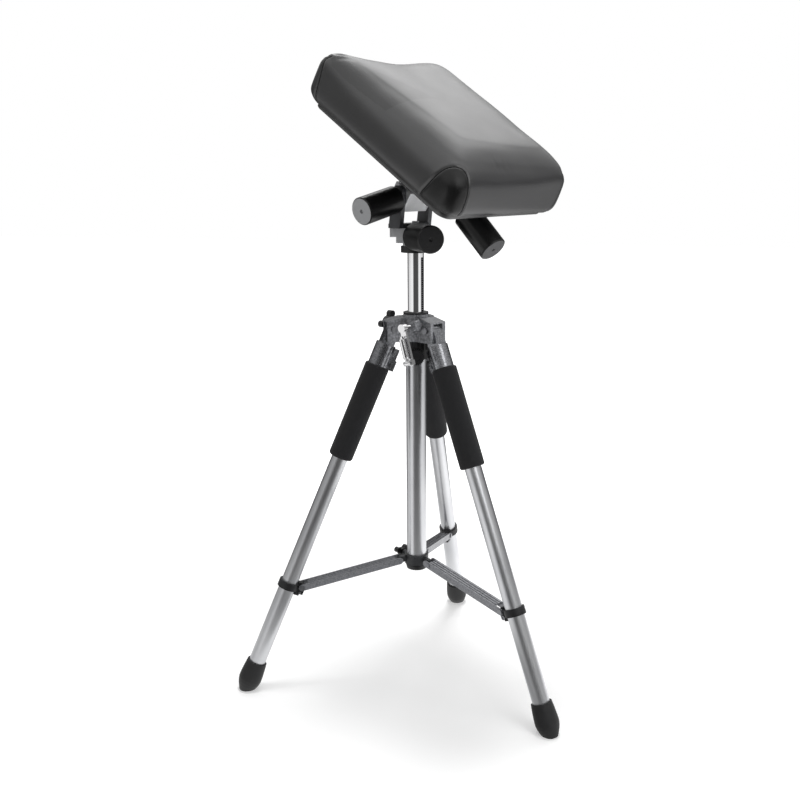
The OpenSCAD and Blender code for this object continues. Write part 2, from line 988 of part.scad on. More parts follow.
module foam_grip(azimuth) {
    color("#161616")
    at_leg(azimuth)
        translate([0, 0, grip_bottom_t])
            rotate_extrude()
                polygon([
                    [leg_r + run, 0],
                    [grip_d / 2 - grip_round, 0],
                    [grip_d / 2 - grip_round * 0.3, grip_round * 0.3],
                    [grip_d / 2, grip_round],
                    [grip_d / 2, grip_len - grip_round],
                    [grip_d / 2 - grip_round * 0.3, grip_len - grip_round * 0.3],
                    [grip_d / 2 - grip_round, grip_len],
                    [leg_r + run, grip_len]
                ]);
}

module leg_socket(azimuth) {
    color("darkgray")
    at_leg(azimuth)
        difference() {
            union() {
                translate([0, 0, grip_top_t])
                    cylinder(r = sleeve_r, h = sleeve_len);
                translate([-knuckle_depth / 2 + neck_relief, -knuckle_w / 2, tube_top_t])
                    cube([knuckle_depth - 2 * neck_relief, knuckle_w, leg_len - neck_short - tube_top_t]);
                translate([0, knuckle_w / 2, leg_len])
                    rotate([90, 0, 0])
                        cylinder(r = knuckle_r, h = knuckle_w);
                translate([-sleeve_r - fin_reach, -fin_w / 2, grip_top_t + fin_up])
                    cube([fin_reach + sleeve_wall, fin_w, fin_len]);
                translate([-sleeve_r - ear_reach, -ear_w / 2, grip_top_t - ear_drop])
                    cube([ear_reach + sleeve_wall, ear_w, ear_len]);
            }
            translate([0, 0, grip_top_t - ear_drop - over])
                cylinder(r = leg_r + run, h = tube_top_t - grip_top_t + ear_drop + over);
            translate([0, 0, grip_top_t - ear_drop - over])
                cylinder(r = grip_d / 2 + run, h = ear_drop + over);
            translate([-sleeve_r - ear_reach - over, -ear_slit / 2, grip_top_t - ear_drop - over])
                cube([ear_reach + sleeve_r, ear_slit, fin_len + ear_drop + over]);
            translate([0, knuckle_w / 2 + over, leg_len])
                rotate([90, 0, 0])
                    cylinder(r = pivot_pin_r + run, h = knuckle_w + 2 * over);
            translate([-sleeve_r - ear_reach / 2, ear_w / 2 + over, grip_top_t - ear_drop + ear_len / 2])
                rotate([90, 0, 0])
                    cylinder(r = screw_r + run, h = ear_w + 2 * over);
        }
}

// Clamp that carries the outer end of a brace
module clamp_tongue() {
    rotate([90, 0, 0])
        linear_extrude(tongue_w, center = true)
            union() {
                translate([-brace_pin_off, brace_pin_up])
                    circle(r = tongue_r, $fn = 48);
                translate([-brace_pin_off, -clamp_h / 2 - clamp_drop])
                    square([brace_pin_off - leg_r, clamp_h + clamp_drop + brace_pin_up]);
                translate([-brace_pin_off - tongue_r, -clamp_h / 2 - clamp_drop + tongue_foot])
                    square([tongue_r + tongue_root, clamp_drop + brace_pin_up]);
            }
}

module brace_clamp(azimuth) {
    color("#1c1c1c")
    at_leg(azimuth)
        translate([0, 0, clamp_t])
            difference() {
                union() {
                    translate([0, 0, -clamp_h / 2])
                        cylinder(r = leg_r + clamp_wall, h = clamp_h);
                    clamp_tongue();
                }
                translate([0, 0, -clamp_h - clamp_drop])
                    cylinder(r = leg_r + run, h = 2 * (clamp_h + clamp_drop));
                translate([-brace_pin_off, 0, brace_pin_up])
                    rotate([90, 0, 0])
                        cylinder(r = brace_pin_r, h = tongue_w + 2 * over, center = true);
                translate([-brace_pin_off, 0, -clamp_drop])
                    rotate([90, 0, 0])
                        cylinder(r = screw_r + run, h = tongue_w + 2 * over, center = true);
            }
}

module leg_fasteners(azimuth) {
    color("silver")
    at_leg(azimuth) {
        translate([-brace_pin_off, 0, clamp_t + brace_pin_up])
            rotate([90, 0, 0])
                union() {
                    cylinder(r = brace_pin_r, h = brace_w + 2 * gap, center = true);
                    for (side = [-1, 1])
                        translate([0, 0, side * (brace_w / 2 + gap + brace_pin_head_t / 2)])
                            cylinder(r = brace_pin_head_r, h = brace_pin_head_t, center = true);
                }
        translate([-brace_pin_off, -tongue_w / 2 - seat, clamp_t - clamp_drop])
            rotate([90, 0, 0])
                screw(screw_r, tongue_w + screw_head_t, screw_head_r * 0.9, screw_head_t);
        translate([-sleeve_r - ear_reach / 2, ear_w / 2 + seat, grip_top_t - ear_drop + ear_len / 2])
            rotate([-90, 0, 0])
                screw(screw_r, ear_w + screw_head_t, screw_head_r, screw_head_t);
    }
}

// Brace: a ribbed channel, open below
module brace_cheek() {
    rotate([90, 0, 0])
        linear_extrude(brace_wall, center = true)
            union() {
                circle(r = brace_end_r, $fn = 48);
                translate([0, -brace_end_r])
                    square([brace_len + brace_hub_stop - brace_end_r, 2 * brace_end_r]);
                translate([brace_len + brace_hub_stop - brace_end_r, 0])
                    circle(r = brace_end_r, $fn = 48);
            }
}

module brace(azimuth) {
    color("gray")
    at_brace(azimuth)
        difference() {
            union() {
                for (side = [-1, 1])
                    translate([0, side * (brace_w - brace_wall) / 2, 0])
                        brace_cheek();
                translate([brace_web_start, -brace_w / 2, brace_h / 2 - brace_wall])
                    cube([brace_len - brace_web_start - brace_web_end, brace_w, brace_wall]);
                for (share = rib_shares)
                    translate([brace_web_start, share * brace_w - rib_w / 2, brace_h / 2 - brace_wall / 2])
                        cube([brace_len - brace_web_start - brace_web_end, rib_w, brace_wall / 2 + rib_h]);
                for (side = [-1, 1])
                    translate([brace_len - hub_rivet_off, side * (brace_w / 2 + brace_pin_head_t / 2), 0])
                        rotate([90, 0, 0])
                            cylinder(r = brace_pin_head_r * 0.9, h = brace_pin_head_t, center = true);
            }
            rotate([90, 0, 0])
                cylinder(r = brace_pin_r + run, h = brace_w + 2 * over, center = true);
        }
}

// Hub that slides on the centre tube
module spreader_hub() {
    color("#4a4a4a")
    at_mast()
        translate([0, 0, hub_z])
            difference() {
                union() {
                    translate([0, 0, -hub_h / 2])
                        cylinder(r = hub_r, h = hub_h);
                    for (azimuth = leg_azimuths)
                        rotate([0, 0, azimuth])
                            rotate([90, 0, 0])
                                linear_extrude(hub_tongue_w, center = true)
                                    union() {
                                        translate([hub_r - over, -hub_tongue_r])
                                            square([hub_pivot_r - hub_r + over, 2 * hub_tongue_r]);
                                        translate([hub_pivot_r, 0])
                                            circle(r = hub_tongue_r, $fn = 48);
                                    }
                    rotate([0, 0, hub_knob_az])
                        rotate([0, 90, 0])
                            cylinder(r = hub_boss_r, h = hub_r + hub_boss_len);
                }
                translate([0, 0, -hub_h])
                    cylinder(r = tube_r + gap, h = 2 * hub_h);
                for (azimuth = leg_azimuths)
                    rotate([0, 0, azimuth])
                        translate([hub_pivot_r, 0, 0])
                            rotate([90, 0, 0])
                                cylinder(r = hub_stub_r, h = hub_tongue_w + over, center = true);
                rotate([0, 0, hub_knob_az])
                    rotate([0, 90, 0])
                        cylinder(r = hub_screw_r + run, h = hub_r + hub_boss_len + over);
            }
}

module hub_pins() {
    color("silver")
    at_mast()
        for (azimuth = leg_azimuths)
            rotate([0, 0, azimuth])
                translate([hub_pivot_r, 0, hub_z])
                    rotate([90, 0, 0])
                        cylinder(r = hub_stub_r, h = brace_w - 2 * brace_wall - 4 * gap, center = true);
}

module hub_knob() {
    color("black")
    facing(hub_knob_az, hub_z)
        translate([0, 0, hub_knob_in])
            difference() {
                lobed_knob(hub_lobe_ring, hub_lobe_r, hub_knob_core_r, hub_knob_h);
                translate([0, 0, -over])
                    cylinder(r = hub_screw_r, h = hub_knob_h - hub_knob_cap + over);
            }
}

module hub_screw() {
    color("silver")
    facing(hub_knob_az, hub_z)
        translate([0, 0, tube_r + gap])
            cylinder(r = hub_screw_r, h = hub_knob_in + hub_knob_h - hub_knob_cap - tube_r - gap);
}

// Head: yoke that turns, block that tilts, bracket that rolls
module yoke_ear(side) {
    base_z = yoke_base_z - tilt_z;
    rotate([90, 0, 0])
        translate([0, 0, side > 0 ? -ear_in - ear_t : ear_in])
            linear_extrude(ear_t)
                union() {
                    circle(r = ear_top_r);
                    polygon([
                        [-ear_top_r, 0], [ear_top_r, 0],
                        [yoke_lean + yoke_foot_half, base_z], [yoke_lean - yoke_foot_half, base_z]
                    ]);
                }
}

module yoke_slot() {
    translate([0, ear_in + ear_t / 2, -arm_slot_drop])
        union() {
            for (end = [-1, 1])
                translate([0, 0, end * arm_slot_len / 2])
                    rotate([90, 0, 0])
                        cylinder(r = arm_slot_r, h = ear_t + 2 * over, center = true);
            cube([2 * arm_slot_r, ear_t + 2 * over, arm_slot_len], center = true);
        }
}

module pan_yoke() {
    base_z = yoke_base_z - tilt_z;
    color("#505050")
        difference() {
            union() {
                at_pan()
                    translate([0, 0, base_z])
                        cylinder(r = yoke_base_r, h = yoke_base_h);
                at_fork() {
                    translate([yoke_lean - yoke_foot_half, -ear_in - ear_t, base_z])
                        cube([2 * yoke_foot_half, 2 * (ear_in + ear_t), yoke_base_h]);
                    yoke_ear(-1);
                    yoke_ear(1);
                }
                at_tilt_line()
                    translate([0, 0, tilt_boss_in])
                        cylinder(r = tilt_boss_r, h = tilt_boss_out - tilt_boss_in);
            }
            at_pan()
                translate([0, 0, base_z - over])
                    cylinder(r = pan_post_r + run, h = yoke_base_h + 2 * over);
            at_fork() {
                rotate([90, 0, 0])
                    cylinder(r = axle_r + run, h = 2 * (ear_in + ear_t + over), center = true);
                yoke_slot();
            }
            at_tilt_line()
                translate([0, 0, tilt_rod_in - gap])
                    cylinder(r = rod_r + run, h = tilt_boss_out);
        }
}

module tilt_block() {
    color("silver")
    at_block()
        difference() {
            intersection() {
                rotate([90, 0, 0])
                    cylinder(r = block_r, h = 2 * block_half, center = true);
                translate([-block_flat, -block_half - over, -block_r - over])
                    cube([2 * block_flat, 2 * (block_half + over), block_r + over + block_shoulder]);
            }
            rotate([90, 0, 0])
                cylinder(r = axle_r, h = 2 * ear_in, center = true);
        }
}

module roll_block() {
    color("#1c1c1c")
    at_block()
        difference() {
            rotate([90, 0, 90])
                linear_extrude(2 * block_long_half, center = true)
                    union() {
                        translate([-block_cap_r, block_shoulder])
                            square([2 * block_cap_r, roll_h - block_shoulder]);
                        translate([0, roll_h])
                            circle(r = block_cap_r);
                    }
            translate([0, 0, roll_h])
                rotate([0, 90, 0])
                    cylinder(r = axle_r + run, h = 2 * (block_long_half + over), center = true);
        }
}

module tilt_axle() {
    color("silver")
    at_fork()
        rotate([90, 0, 0])
            cylinder(r = axle_r, h = 2 * (ear_in + ear_t) - 2 * gap, center = true);
}

module bracket_ear(side) {
    ear_a = block_long_half + bracket_gap;
    translate([side > 0 ? ear_a : -ear_a - bracket_ear_t, 0, 0])
        rotate([90, 0, 90])
            linear_extrude(bracket_ear_t)
                union() {
                    translate([0, roll_h])
                        circle(r = bracket_ear_drop);
                    polygon([
                        [-bracket_ear_drop, roll_h], [bracket_ear_drop, roll_h],
                        [bracket_ear_half, pad_under - plate_t],
                        [-bracket_ear_half, pad_under - plate_t]
                    ]);
                }
}

module top_bracket() {
    ear_a = block_long_half + bracket_gap;
    color("#181818")
        difference() {
            union() {
                at_pad()
                    translate([-plate_len / 2, -plate_w / 2, -plate_t])
                        cube([plate_len, plate_w, plate_t]);
                at_block() {
                    bracket_ear(-1);
                    bracket_ear(1);
                }
            }
            at_block()
                translate([0, 0, roll_h])
                    rotate([0, 90, 0])
                        cylinder(r = axle_r, h = 2 * (ear_a + bracket_ear_t + over), center = true);
            at_side_handle()
                translate([0, 0, -side_rod_len - side_rod_short])
                    cylinder(r = rod_r + run, h = side_rod_len + side_rod_short);
            at_pad()
                for (x = [-1, 1], y = [-1, 1])
                    translate([x * plate_hole_long, y * plate_hole_side, -plate_t - over])
                        cylinder(r = plate_hole_r, h = plate_t + 2 * over);
        }
}

module roll_axle() {
    ear_a = block_long_half + bracket_gap + bracket_ear_t;
    color("silver")
    at_block()
        translate([0, 0, roll_h])
            rotate([0, 90, 0])
                cylinder(r = axle_r, h = 2 * ear_a, center = true);
}

// Frame of the side handle: +Z out along the handle, origin at its inner end
module at_side_handle() {
    at_tilt()
        translate([side_handle_in, 0, side_handle_drop])
            rotate([0, 90 + side_handle_dip, 0])
                children();
}

side_rod_len = (side_handle_in - block_long_half - bracket_gap) / cos(side_handle_dip) - side_rod_short;

// Line of the tilt handle, out from the mast
module at_tilt_line() {
    at_pan()
        rotate([90 + tilt_handle_dip, 0, 0])
            children();
}

// Frame of the tilt handle: +Z out along the handle, origin at its inner end
module at_tilt_handle() {
    at_tilt_line()
        translate([0, 0, tilt_handle_in])
            children();
}

module at_pan_handle() {
    facing(pan_handle_az, pan_handle_z)
        translate([0, pan_handle_side, pan_handle_in + gap])
            children();
}

// Lock handle: a smooth cylinder with broken edges and a dimple in its end
module lock_handle() {
    difference() {
        rotate_extrude()
            polygon([
                [0, 0],
                [handle_d / 2 - 2 * handle_edge, 0],
                [handle_d / 2, 2 * handle_edge],
                [handle_d / 2, handle_len - handle_edge],
                [handle_d / 2 - handle_edge, handle_len],
                [0, handle_len]
            ]);
        translate([0, 0, handle_len - handle_dimple_depth])
            cylinder(r1 = handle_dimple_r * 0.3, r2 = handle_dimple_r, h = handle_dimple_depth);
        translate([0, 0, -over])
            cylinder(r = rod_r, h = handle_socket + over);
    }
}

module pan_handle() {
    color("#1e1e1e")
    at_pan_handle()
        lock_handle();
}

module pan_handle_rod() {
    color("silver")
    at_pan_handle()
        translate([0, 0, -pan_rod_depth])
            cylinder(r = rod_r, h = pan_rod_depth + handle_socket);
}

module tilt_handle() {
    color("#101010")
    at_tilt_handle()
        lock_handle();
}

module tilt_handle_rod() {
    color("silver")
    at_tilt_handle()
        translate([0, 0, tilt_rod_in - tilt_handle_in])
            cylinder(r = rod_r, h = tilt_handle_in - tilt_rod_in + handle_socket);
}

module side_handle() {
    color("#101010")
    at_side_handle()
        lock_handle();
}

module side_handle_rod() {
    color("silver")
    at_side_handle()
        translate([0, 0, -side_rod_len])
            cylinder(r = rod_r, h = side_rod_len + handle_socket);
}

module rounded_board(length, width, corner_r, height) {
    linear_extrude(height)
        union() {
            square([length - 2 * corner_r, width], center = true);
            square([length, width - 2 * corner_r], center = true);
            for (x = [-1, 1], y = [-1, 1])
                translate([x * (length / 2 - corner_r), y * (width / 2 - corner_r)])
                    circle(r = corner_r);
        }
}

module pad_board() {
    color("burlywood")
    at_pad()
        difference() {
            rounded_board(pad_len - 2 * board_inset, pad_w - 2 * board_inset, board_corner_r, board_t);
            for (x = [-1, 1], y = [-1, 1])
                translate([x * plate_hole_long, y * plate_hole_side, -over])
                    cylinder(r = screw_r, h = board_t + over - board_hole_stop);
        }
}

module board_screws() {
    color("silver")
    at_pad()
        for (x = [-1, 1], y = [-1, 1])
            translate([x * plate_hole_long, y * plate_hole_side, -plate_t - seat])
                rotate([180, 0, 0])
                    screw(screw_r, screw_length, screw_head_r, screw_head_t);
}

// Outline of the cushion seen from above, one point at an angle share around it
function rounded_point(half_l, half_w, r, i) =
    let (
        quarter = floor(i * 4 / ring_points),
        turn = (i * 4 / ring_points - quarter) * 90 * ring_points / (ring_points - 4),
        sx = quarter == 0 || quarter == 3 ? 1 : -1,
        sy = quarter < 2 ? 1 : -1,
        angle = quarter * 90 + turn
    )
    [sx * (half_l - r) + r * cos(angle), sy * (half_w - r) + r * sin(angle)];

// Rings from the underside to the crown: inset from the full outline and height
side_steps = 5;
crown_steps = 3;
function cushion_rings() = concat(
    [[foot_edge_r, 0]],
    [for (i = [1 : 3]) [foot_edge_r * (1 - sin(i * 30)), foot_edge_r * (1 - cos(i * 30))]],
    [for (i = [1 : side_steps])
        let (s = i / (side_steps + 1))
        [side_pull * sin(s * 180), foot_edge_r + s * (pad_h - foot_edge_r - edge_r)]],
    [for (i = [0 : 4]) [edge_r * (1 - cos(i * 22.5)), pad_h - edge_r * (1 - sin(i * 22.5))]],
    [for (i = [1 : crown_steps])
        let (s = i / (crown_steps + 1))
        [edge_r + s * (pad_w / 2 - edge_r), pad_h + pad_crown * sin(s * 90) - pad_crown]]
);

// Corners stand a little higher than the middle of each edge
function corner_share(x, y) =
    pow(abs(x) / (pad_len / 2), 3) * pow(abs(y) / (pad_w / 2), 3);

module pad_cushion() {
    rings = cushion_rings();
    count = len(rings);
    points = concat(
        [for (ring = rings, i = [0 : ring_points - 1])
            let (
                half_l = pad_len / 2 - ring[0],
                half_w = pad_w / 2 - ring[0],
                r = max(pad_corner_r - ring[0] * 0.6, 4),
                p = rounded_point(half_l, half_w, min(r, half_w - 0.5), i),
                up = ring[1] / pad_h
            )
            [p[0], p[1], ring[1] - corner_lift * up * up * (1 - corner_share(p[0], p[1]))]],
        [[0, 0, 0], [0, 0, pad_h - corner_lift]]
    );
    faces = concat(
        [for (k = [0 : count - 2], i = [0 : ring_points - 1])
            let (j = (i + 1) % ring_points)
            [k * ring_points + i, (k + 1) * ring_points + i, (k + 1) * ring_points + j]],
        [for (k = [0 : count - 2], i = [0 : ring_points - 1])
            let (j = (i + 1) % ring_points)
            [k * ring_points + i, (k + 1) * ring_points + j, k * ring_points + j]],
        [for (i = [0 : ring_points - 1])
            [count * ring_points, i, (i + 1) % ring_points]],
        [for (i = [0 : ring_points - 1])
            [count * ring_points + 1, (count - 1) * ring_points + (i + 1) % ring_points,
             (count - 1) * ring_points + i]]
    );
    color("#383838")
    at_pad()
        difference() {
            polyhedron(points = points, faces = faces, convexity = 4);
            translate([0, 0, -over])
                rounded_board(pad_len - 2 * board_inset + 2 * board_gap,
                              pad_w - 2 * board_inset + 2 * board_gap,
                              board_corner_r, pocket_depth + over);
        }
}

cast_spider();
centre_tube();
neck_collar();
tube_end_cap();
top_bushing();
leg_pivot_pins();
column_tube();
column_rack();
column_guide();
column_collar();
pan_base();
drive_pinion();
crank_shaft();
crank_arm();
crank_hinge_pin();
crank_handle();
column_lock_knob();
column_lock_screw();
drag_knob();
drag_screw();
leg_tube(left_az);  // leg_tube_left
leg_tube(right_az);  // leg_tube_right
leg_tube(back_az);  // leg_tube_back
leg_socket(left_az);  // leg_socket_left
leg_socket(right_az);  // leg_socket_right
leg_socket(back_az);  // leg_socket_back
foam_grip(left_az);  // foam_grip_left
foam_grip(right_az);  // foam_grip_right
foam_grip(back_az);  // foam_grip_back
rubber_foot(left_az);  // rubber_foot_left
rubber_foot(right_az);  // rubber_foot_right
rubber_foot(back_az);  // rubber_foot_back
brace_clamp(left_az);  // brace_clamp_left
brace_clamp(right_az);  // brace_clamp_right
brace_clamp(back_az);  // brace_clamp_back
leg_fasteners(left_az);  // leg_fasteners_left
leg_fasteners(right_az);  // leg_fasteners_right
leg_fasteners(back_az);  // leg_fasteners_back
brace(left_az);  // brace_left
brace(right_az);  // brace_right
brace(back_az);  // brace_back
spreader_hub();
hub_pins();
hub_knob();
hub_screw();
pan_yoke();
tilt_block();
roll_block();
tilt_axle();
top_bracket();
roll_axle();
pad_board();
pad_cushion();
board_screws();
pan_handle();
pan_handle_rod();
tilt_handle();
tilt_handle_rod();
side_handle();
side_handle_rod();
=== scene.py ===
import math

import bpy
from mathutils import Matrix, Vector
from mathutils.bvhtree import BVHTree
from mathutils.kdtree import KDTree
import numpy as np


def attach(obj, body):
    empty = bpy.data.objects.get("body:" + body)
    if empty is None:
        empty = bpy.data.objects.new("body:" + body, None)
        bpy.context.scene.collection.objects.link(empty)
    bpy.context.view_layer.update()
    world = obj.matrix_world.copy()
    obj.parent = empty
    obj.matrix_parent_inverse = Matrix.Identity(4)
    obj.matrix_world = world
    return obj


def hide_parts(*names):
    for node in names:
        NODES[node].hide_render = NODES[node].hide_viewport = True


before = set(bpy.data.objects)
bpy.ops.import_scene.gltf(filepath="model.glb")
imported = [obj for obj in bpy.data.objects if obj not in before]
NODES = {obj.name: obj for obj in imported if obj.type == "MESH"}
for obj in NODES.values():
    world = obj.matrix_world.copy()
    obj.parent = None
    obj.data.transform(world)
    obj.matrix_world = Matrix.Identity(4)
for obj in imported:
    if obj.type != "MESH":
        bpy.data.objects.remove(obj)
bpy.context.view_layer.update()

bl_info = {
    "name": "Arm Rest Stand",
    "version": (1, 0, 0),
    "blender": (4, 5, 0),
    "location": "View3D > Sidebar > Arm Rest",
    "description": "Covers, finishes and lights the arm rest stand",
    "category": "Add Mesh",
}

MM = 0.001

# Where the head stands: the mast's place, the tilt axis, and the pad's two turns and its shift
MAST_Y = -45.0 * MM
TILT_Z = 742.0 * MM
PAN = math.radians(-27.0)
TILT = math.radians(32.5)
PAD_SHIFT = Vector((2.5, -7.0, 56.5)) * MM

# Where the lock handles point: the pan handle's azimuth, and how steeply the other two slope down
PAN_HANDLE = math.radians(-55.0)
TILT_HANDLE_DROP = math.radians(12.5)
SIDE_HANDLE_DROP = math.radians(11.5)

LEGS = ("left", "right", "back")


def pad_matrix():
    """Pad space to model space: X down the pad, Z out of its top, origin under its middle."""
    return (
        Matrix.Translation((0.0, MAST_Y, TILT_Z))
        @ Matrix.Rotation(PAN, 4, "Z")
        @ Matrix.Rotation(TILT, 4, "Y")
        @ Matrix.Translation(PAD_SHIFT)
    )


# Colours and node trees

def linear(hex_colour, alpha=1.0):
    """An sRGB hex value as linear RGBA."""
    text = hex_colour.lstrip("#")
    rgb = [int(text[i:i + 2], 16) / 255 for i in (0, 2, 4)]
    return tuple(c / 12.92 if c <= 0.04045 else ((c + 0.055) / 1.055) ** 2.4 for c in rgb) + (alpha,)


def grey(value):
    """A linear grey as RGBA."""
    return (value, value, value, 1.0)


def add(tree, kind, inputs=None, **settings):
    """Adds one node with its settings, and gives its inputs values or links."""
    node = tree.nodes.new(kind)
    for name, value in settings.items():
        setattr(node, name, value)
    for name, value in (inputs or {}).items():
        if isinstance(value, bpy.types.NodeSocket):
            tree.links.new(value, node.inputs[name])
        else:
            node.inputs[name].default_value = value
    return node


def remap(tree, value, low, high, start=0.0, end=1.0):
    """Takes a value from start..end to low..high, and holds it there at both ends."""
    return add(tree, "ShaderNodeMapRange", {
        "Value": value, "From Min": start, "From Max": end, "To Min": low, "To Max": high,
    }).outputs["Result"]


def mix(tree, share, first, second, blend="MIX"):
    """Blends two colours."""
    return add(tree, "ShaderNodeMixRGB", {"Fac": share, "Color1": first, "Color2": second},
               blend_type=blend).outputs["Color"]


def dot(tree, one, other):
    """The dot product of two vectors."""
    return add(tree, "ShaderNodeVectorMath", {0: one, 1: other}, operation="DOT_PRODUCT").outputs["Value"]


def ramp(tree, factor, stops):
    """A colour ramp over a factor, with (place, colour) stops."""
    node = add(tree, "ShaderNodeValToRGB", {"Fac": factor})
    bands = node.color_ramp.elements
    while len(bands) < len(stops):
        bands.new(0.5)
    for band, (place, colour) in zip(bands, stops):
        band.position = place
        band.color = colour
    return node.outputs["Color"]


def new_material(name):
    """An empty material with a Principled shader on its output, and its object coordinates."""
    material = bpy.data.materials.new(name)
    material.use_nodes = True
    tree = material.node_tree
    tree.nodes.clear()
    shader = add(tree, "ShaderNodeBsdfPrincipled")
    add(tree, "ShaderNodeOutputMaterial", {"Surface": shader.outputs["BSDF"]})
    where = add(tree, "ShaderNodeTexCoord").outputs["Object"]
    return material, tree, shader, where


def noise(tree, where, size_mm, detail=3.0, rough=0.55):
    """Fractal noise whose largest features are about size_mm across."""
    return add(tree, "ShaderNodeTexNoise", {
        "Vector": where, "Scale": 1.0 / (size_mm * MM), "Detail": detail, "Roughness": rough,
    }).outputs["Fac"]


def bump(tree, shader, height, depth_mm, strength=1.0, after=None):
    """Feeds a height into the shader's normal, depth_mm deep."""
    inputs = {"Height": height, "Distance": depth_mm * MM, "Strength": strength}
    if after is not None:
        inputs["Normal"] = after
    node = add(tree, "ShaderNodeBump", inputs)
    tree.links.new(node.outputs["Normal"], shader.inputs["Normal"])
    return node.outputs["Normal"]


def hammered_enamel(name, base, valley, cell_mm=3.2, metallic=0.5, dull_from=0.24, dull_to=0.40):
    """Hammer-finish enamel on cast aluminium: the dimples give broken, soft highlights."""
    material, tree, shader, where = new_material(name)
    cells = add(tree, "ShaderNodeTexVoronoi", {
        "Vector": where, "Scale": 1.0 / (cell_mm * MM), "Smoothness": 0.6,
    }, feature="SMOOTH_F1").outputs["Distance"]
    colour = ramp(tree, cells, [(0.15, linear(base)), (0.75, linear(valley))])
    tree.links.new(colour, shader.inputs["Base Color"])
    cloud = noise(tree, where, 18.0)
    dull = remap(tree, cloud, dull_from, dull_to)
    tree.links.new(dull, shader.inputs["Roughness"])
    shader.inputs["Metallic"].default_value = metallic
    bump(tree, shader, cells, 0.35, 0.55)
    return material


def anodised_tube(name, base, dark):
    """Satin anodised aluminium, drawn through a die: a soft sheen with faint clouds."""
    material, tree, shader, where = new_material(name)
    cloud = noise(tree, where, 60.0, 2.0)
    colour = ramp(tree, cloud, [(0.3, linear(dark)), (0.7, linear(base))])
    tree.links.new(colour, shader.inputs["Base Color"])
    drawn = add(tree, "ShaderNodeMapping", {"Vector": where, "Scale": (1.0, 1.0, 0.02)}).outputs["Vector"]
    lines = noise(tree, drawn, 0.9, 2.0)
    dull = remap(tree, lines, 0.26, 0.40)
    tree.links.new(dull, shader.inputs["Roughness"])
    shader.inputs["Metallic"].default_value = 1.0
    bump(tree, shader, lines, 0.02, 0.25)
    return material


def chrome_plate(name):
    """Chromium plate on steel: a mirror, with a trace of wipe marks."""
    material, tree, shader, where = new_material(name)
    shader.inputs["Base Color"].default_value = linear("#e9e9ea")
    shader.inputs["Metallic"].default_value = 1.0
    wipe = noise(tree, where, 25.0, 4.0)
    dull = remap(tree, wipe, 0.04, 0.13)
    tree.links.new(dull, shader.inputs["Roughness"])
    bump(tree, shader, wipe, 0.02, 0.1)
    return material


def zinc_steel(name, base="#9a9b9d"):
    """Turned or rolled steel with bright zinc: fine scratches blur its highlights."""
    material, tree, shader, where = new_material(name)
    cloud = noise(tree, where, 4.0)
    colour = ramp(tree, cloud, [(0.35, linear("#85868a")), (0.7, linear(base))])
    tree.links.new(colour, shader.inputs["Base Color"])
    shader.inputs["Metallic"].default_value = 1.0
    shader.inputs["Roughness"].default_value = 0.33
    bump(tree, shader, noise(tree, where, 0.5), 0.02, 0.4)
    return material


def moulded_plastic(name, base, light, roughness=0.45, grit_mm=0.6, depth_mm=0.03):
    """Injection-moulded nylon or ABS: an even colour with a fine spark-eroded grain."""
    material, tree, shader, where = new_material(name)
    cloud = noise(tree, where, 14.0)
    colour = ramp(tree, cloud, [(0.35, linear(base)), (0.75, linear(light))])
    tree.links.new(colour, shader.inputs["Base Color"])
    dull = remap(tree, cloud, roughness - 0.05, roughness + 0.07)
    tree.links.new(dull, shader.inputs["Roughness"])
    shader.inputs["IOR"].default_value = 1.5
    bump(tree, shader, noise(tree, where, grit_mm), depth_mm, 0.5)
    return material


def turned_handle(name, base, end, roughness, way):
    """A turned handle: gloss or satin along its side, and an end face in a colour of its own, a painted
    reflection.
    """
    material, tree, shader, where = new_material(name)
    normal = add(tree, "ShaderNodeTexCoord").outputs["Normal"]
    face = remap(tree, dot(tree, normal, way.normalized()), 0.0, 1.0, start=0.75, end=0.95)
    cloud = noise(tree, where, 9.0)
    body = ramp(tree, cloud, [(0.3, linear(base)), (0.8, linear("#0e0e0f"))])
    # Painted reflection: the end face takes the end colour, set as bright as the light that end showed
    colour = mix(tree, face, body, linear(end))
    tree.links.new(colour, shader.inputs["Base Color"])
    dull = remap(tree, face, roughness, 0.48)
    tree.links.new(dull, shader.inputs["Roughness"])
    bump(tree, shader, noise(tree, where, 1.2), 0.015, 0.4)
    return material


def foam_rubber(name):
    """Closed-cell foam rubber: open pores in a soft skin that scatters light."""
    material, tree, shader, where = new_material(name)
    pore_mm = 1.4
    pores = add(tree, "ShaderNodeTexVoronoi", {
        "Vector": where, "Scale": 1.0 / (pore_mm * MM),
    }).outputs["Distance"]
    colour = ramp(tree, pores, [(0.05, linear("#060607")), (0.45, linear("#131315"))])
    tree.links.new(colour, shader.inputs["Base Color"])
    shader.inputs["Roughness"].default_value = 0.82
    shader.inputs["Sheen Weight"].default_value = 0.08
    bump(tree, shader, pores, 0.25, 0.5)
    return material


def powder_coat(name, base, light, roughness=0.42, grain_mm=1.6):
    """Baked powder coat on steel or castings: orange peel under a satin gloss."""
    material, tree, shader, where = new_material(name)
    peel = noise(tree, where, grain_mm, 2.0)
    colour = ramp(tree, noise(tree, where, 20.0), [(0.3, linear(base)), (0.75, linear(light))])
    tree.links.new(colour, shader.inputs["Base Color"])
    shader.inputs["Roughness"].default_value = roughness
    shader.inputs["Metallic"].default_value = 0.15
    bump(tree, shader, peel, 0.12, 0.35)
    return material


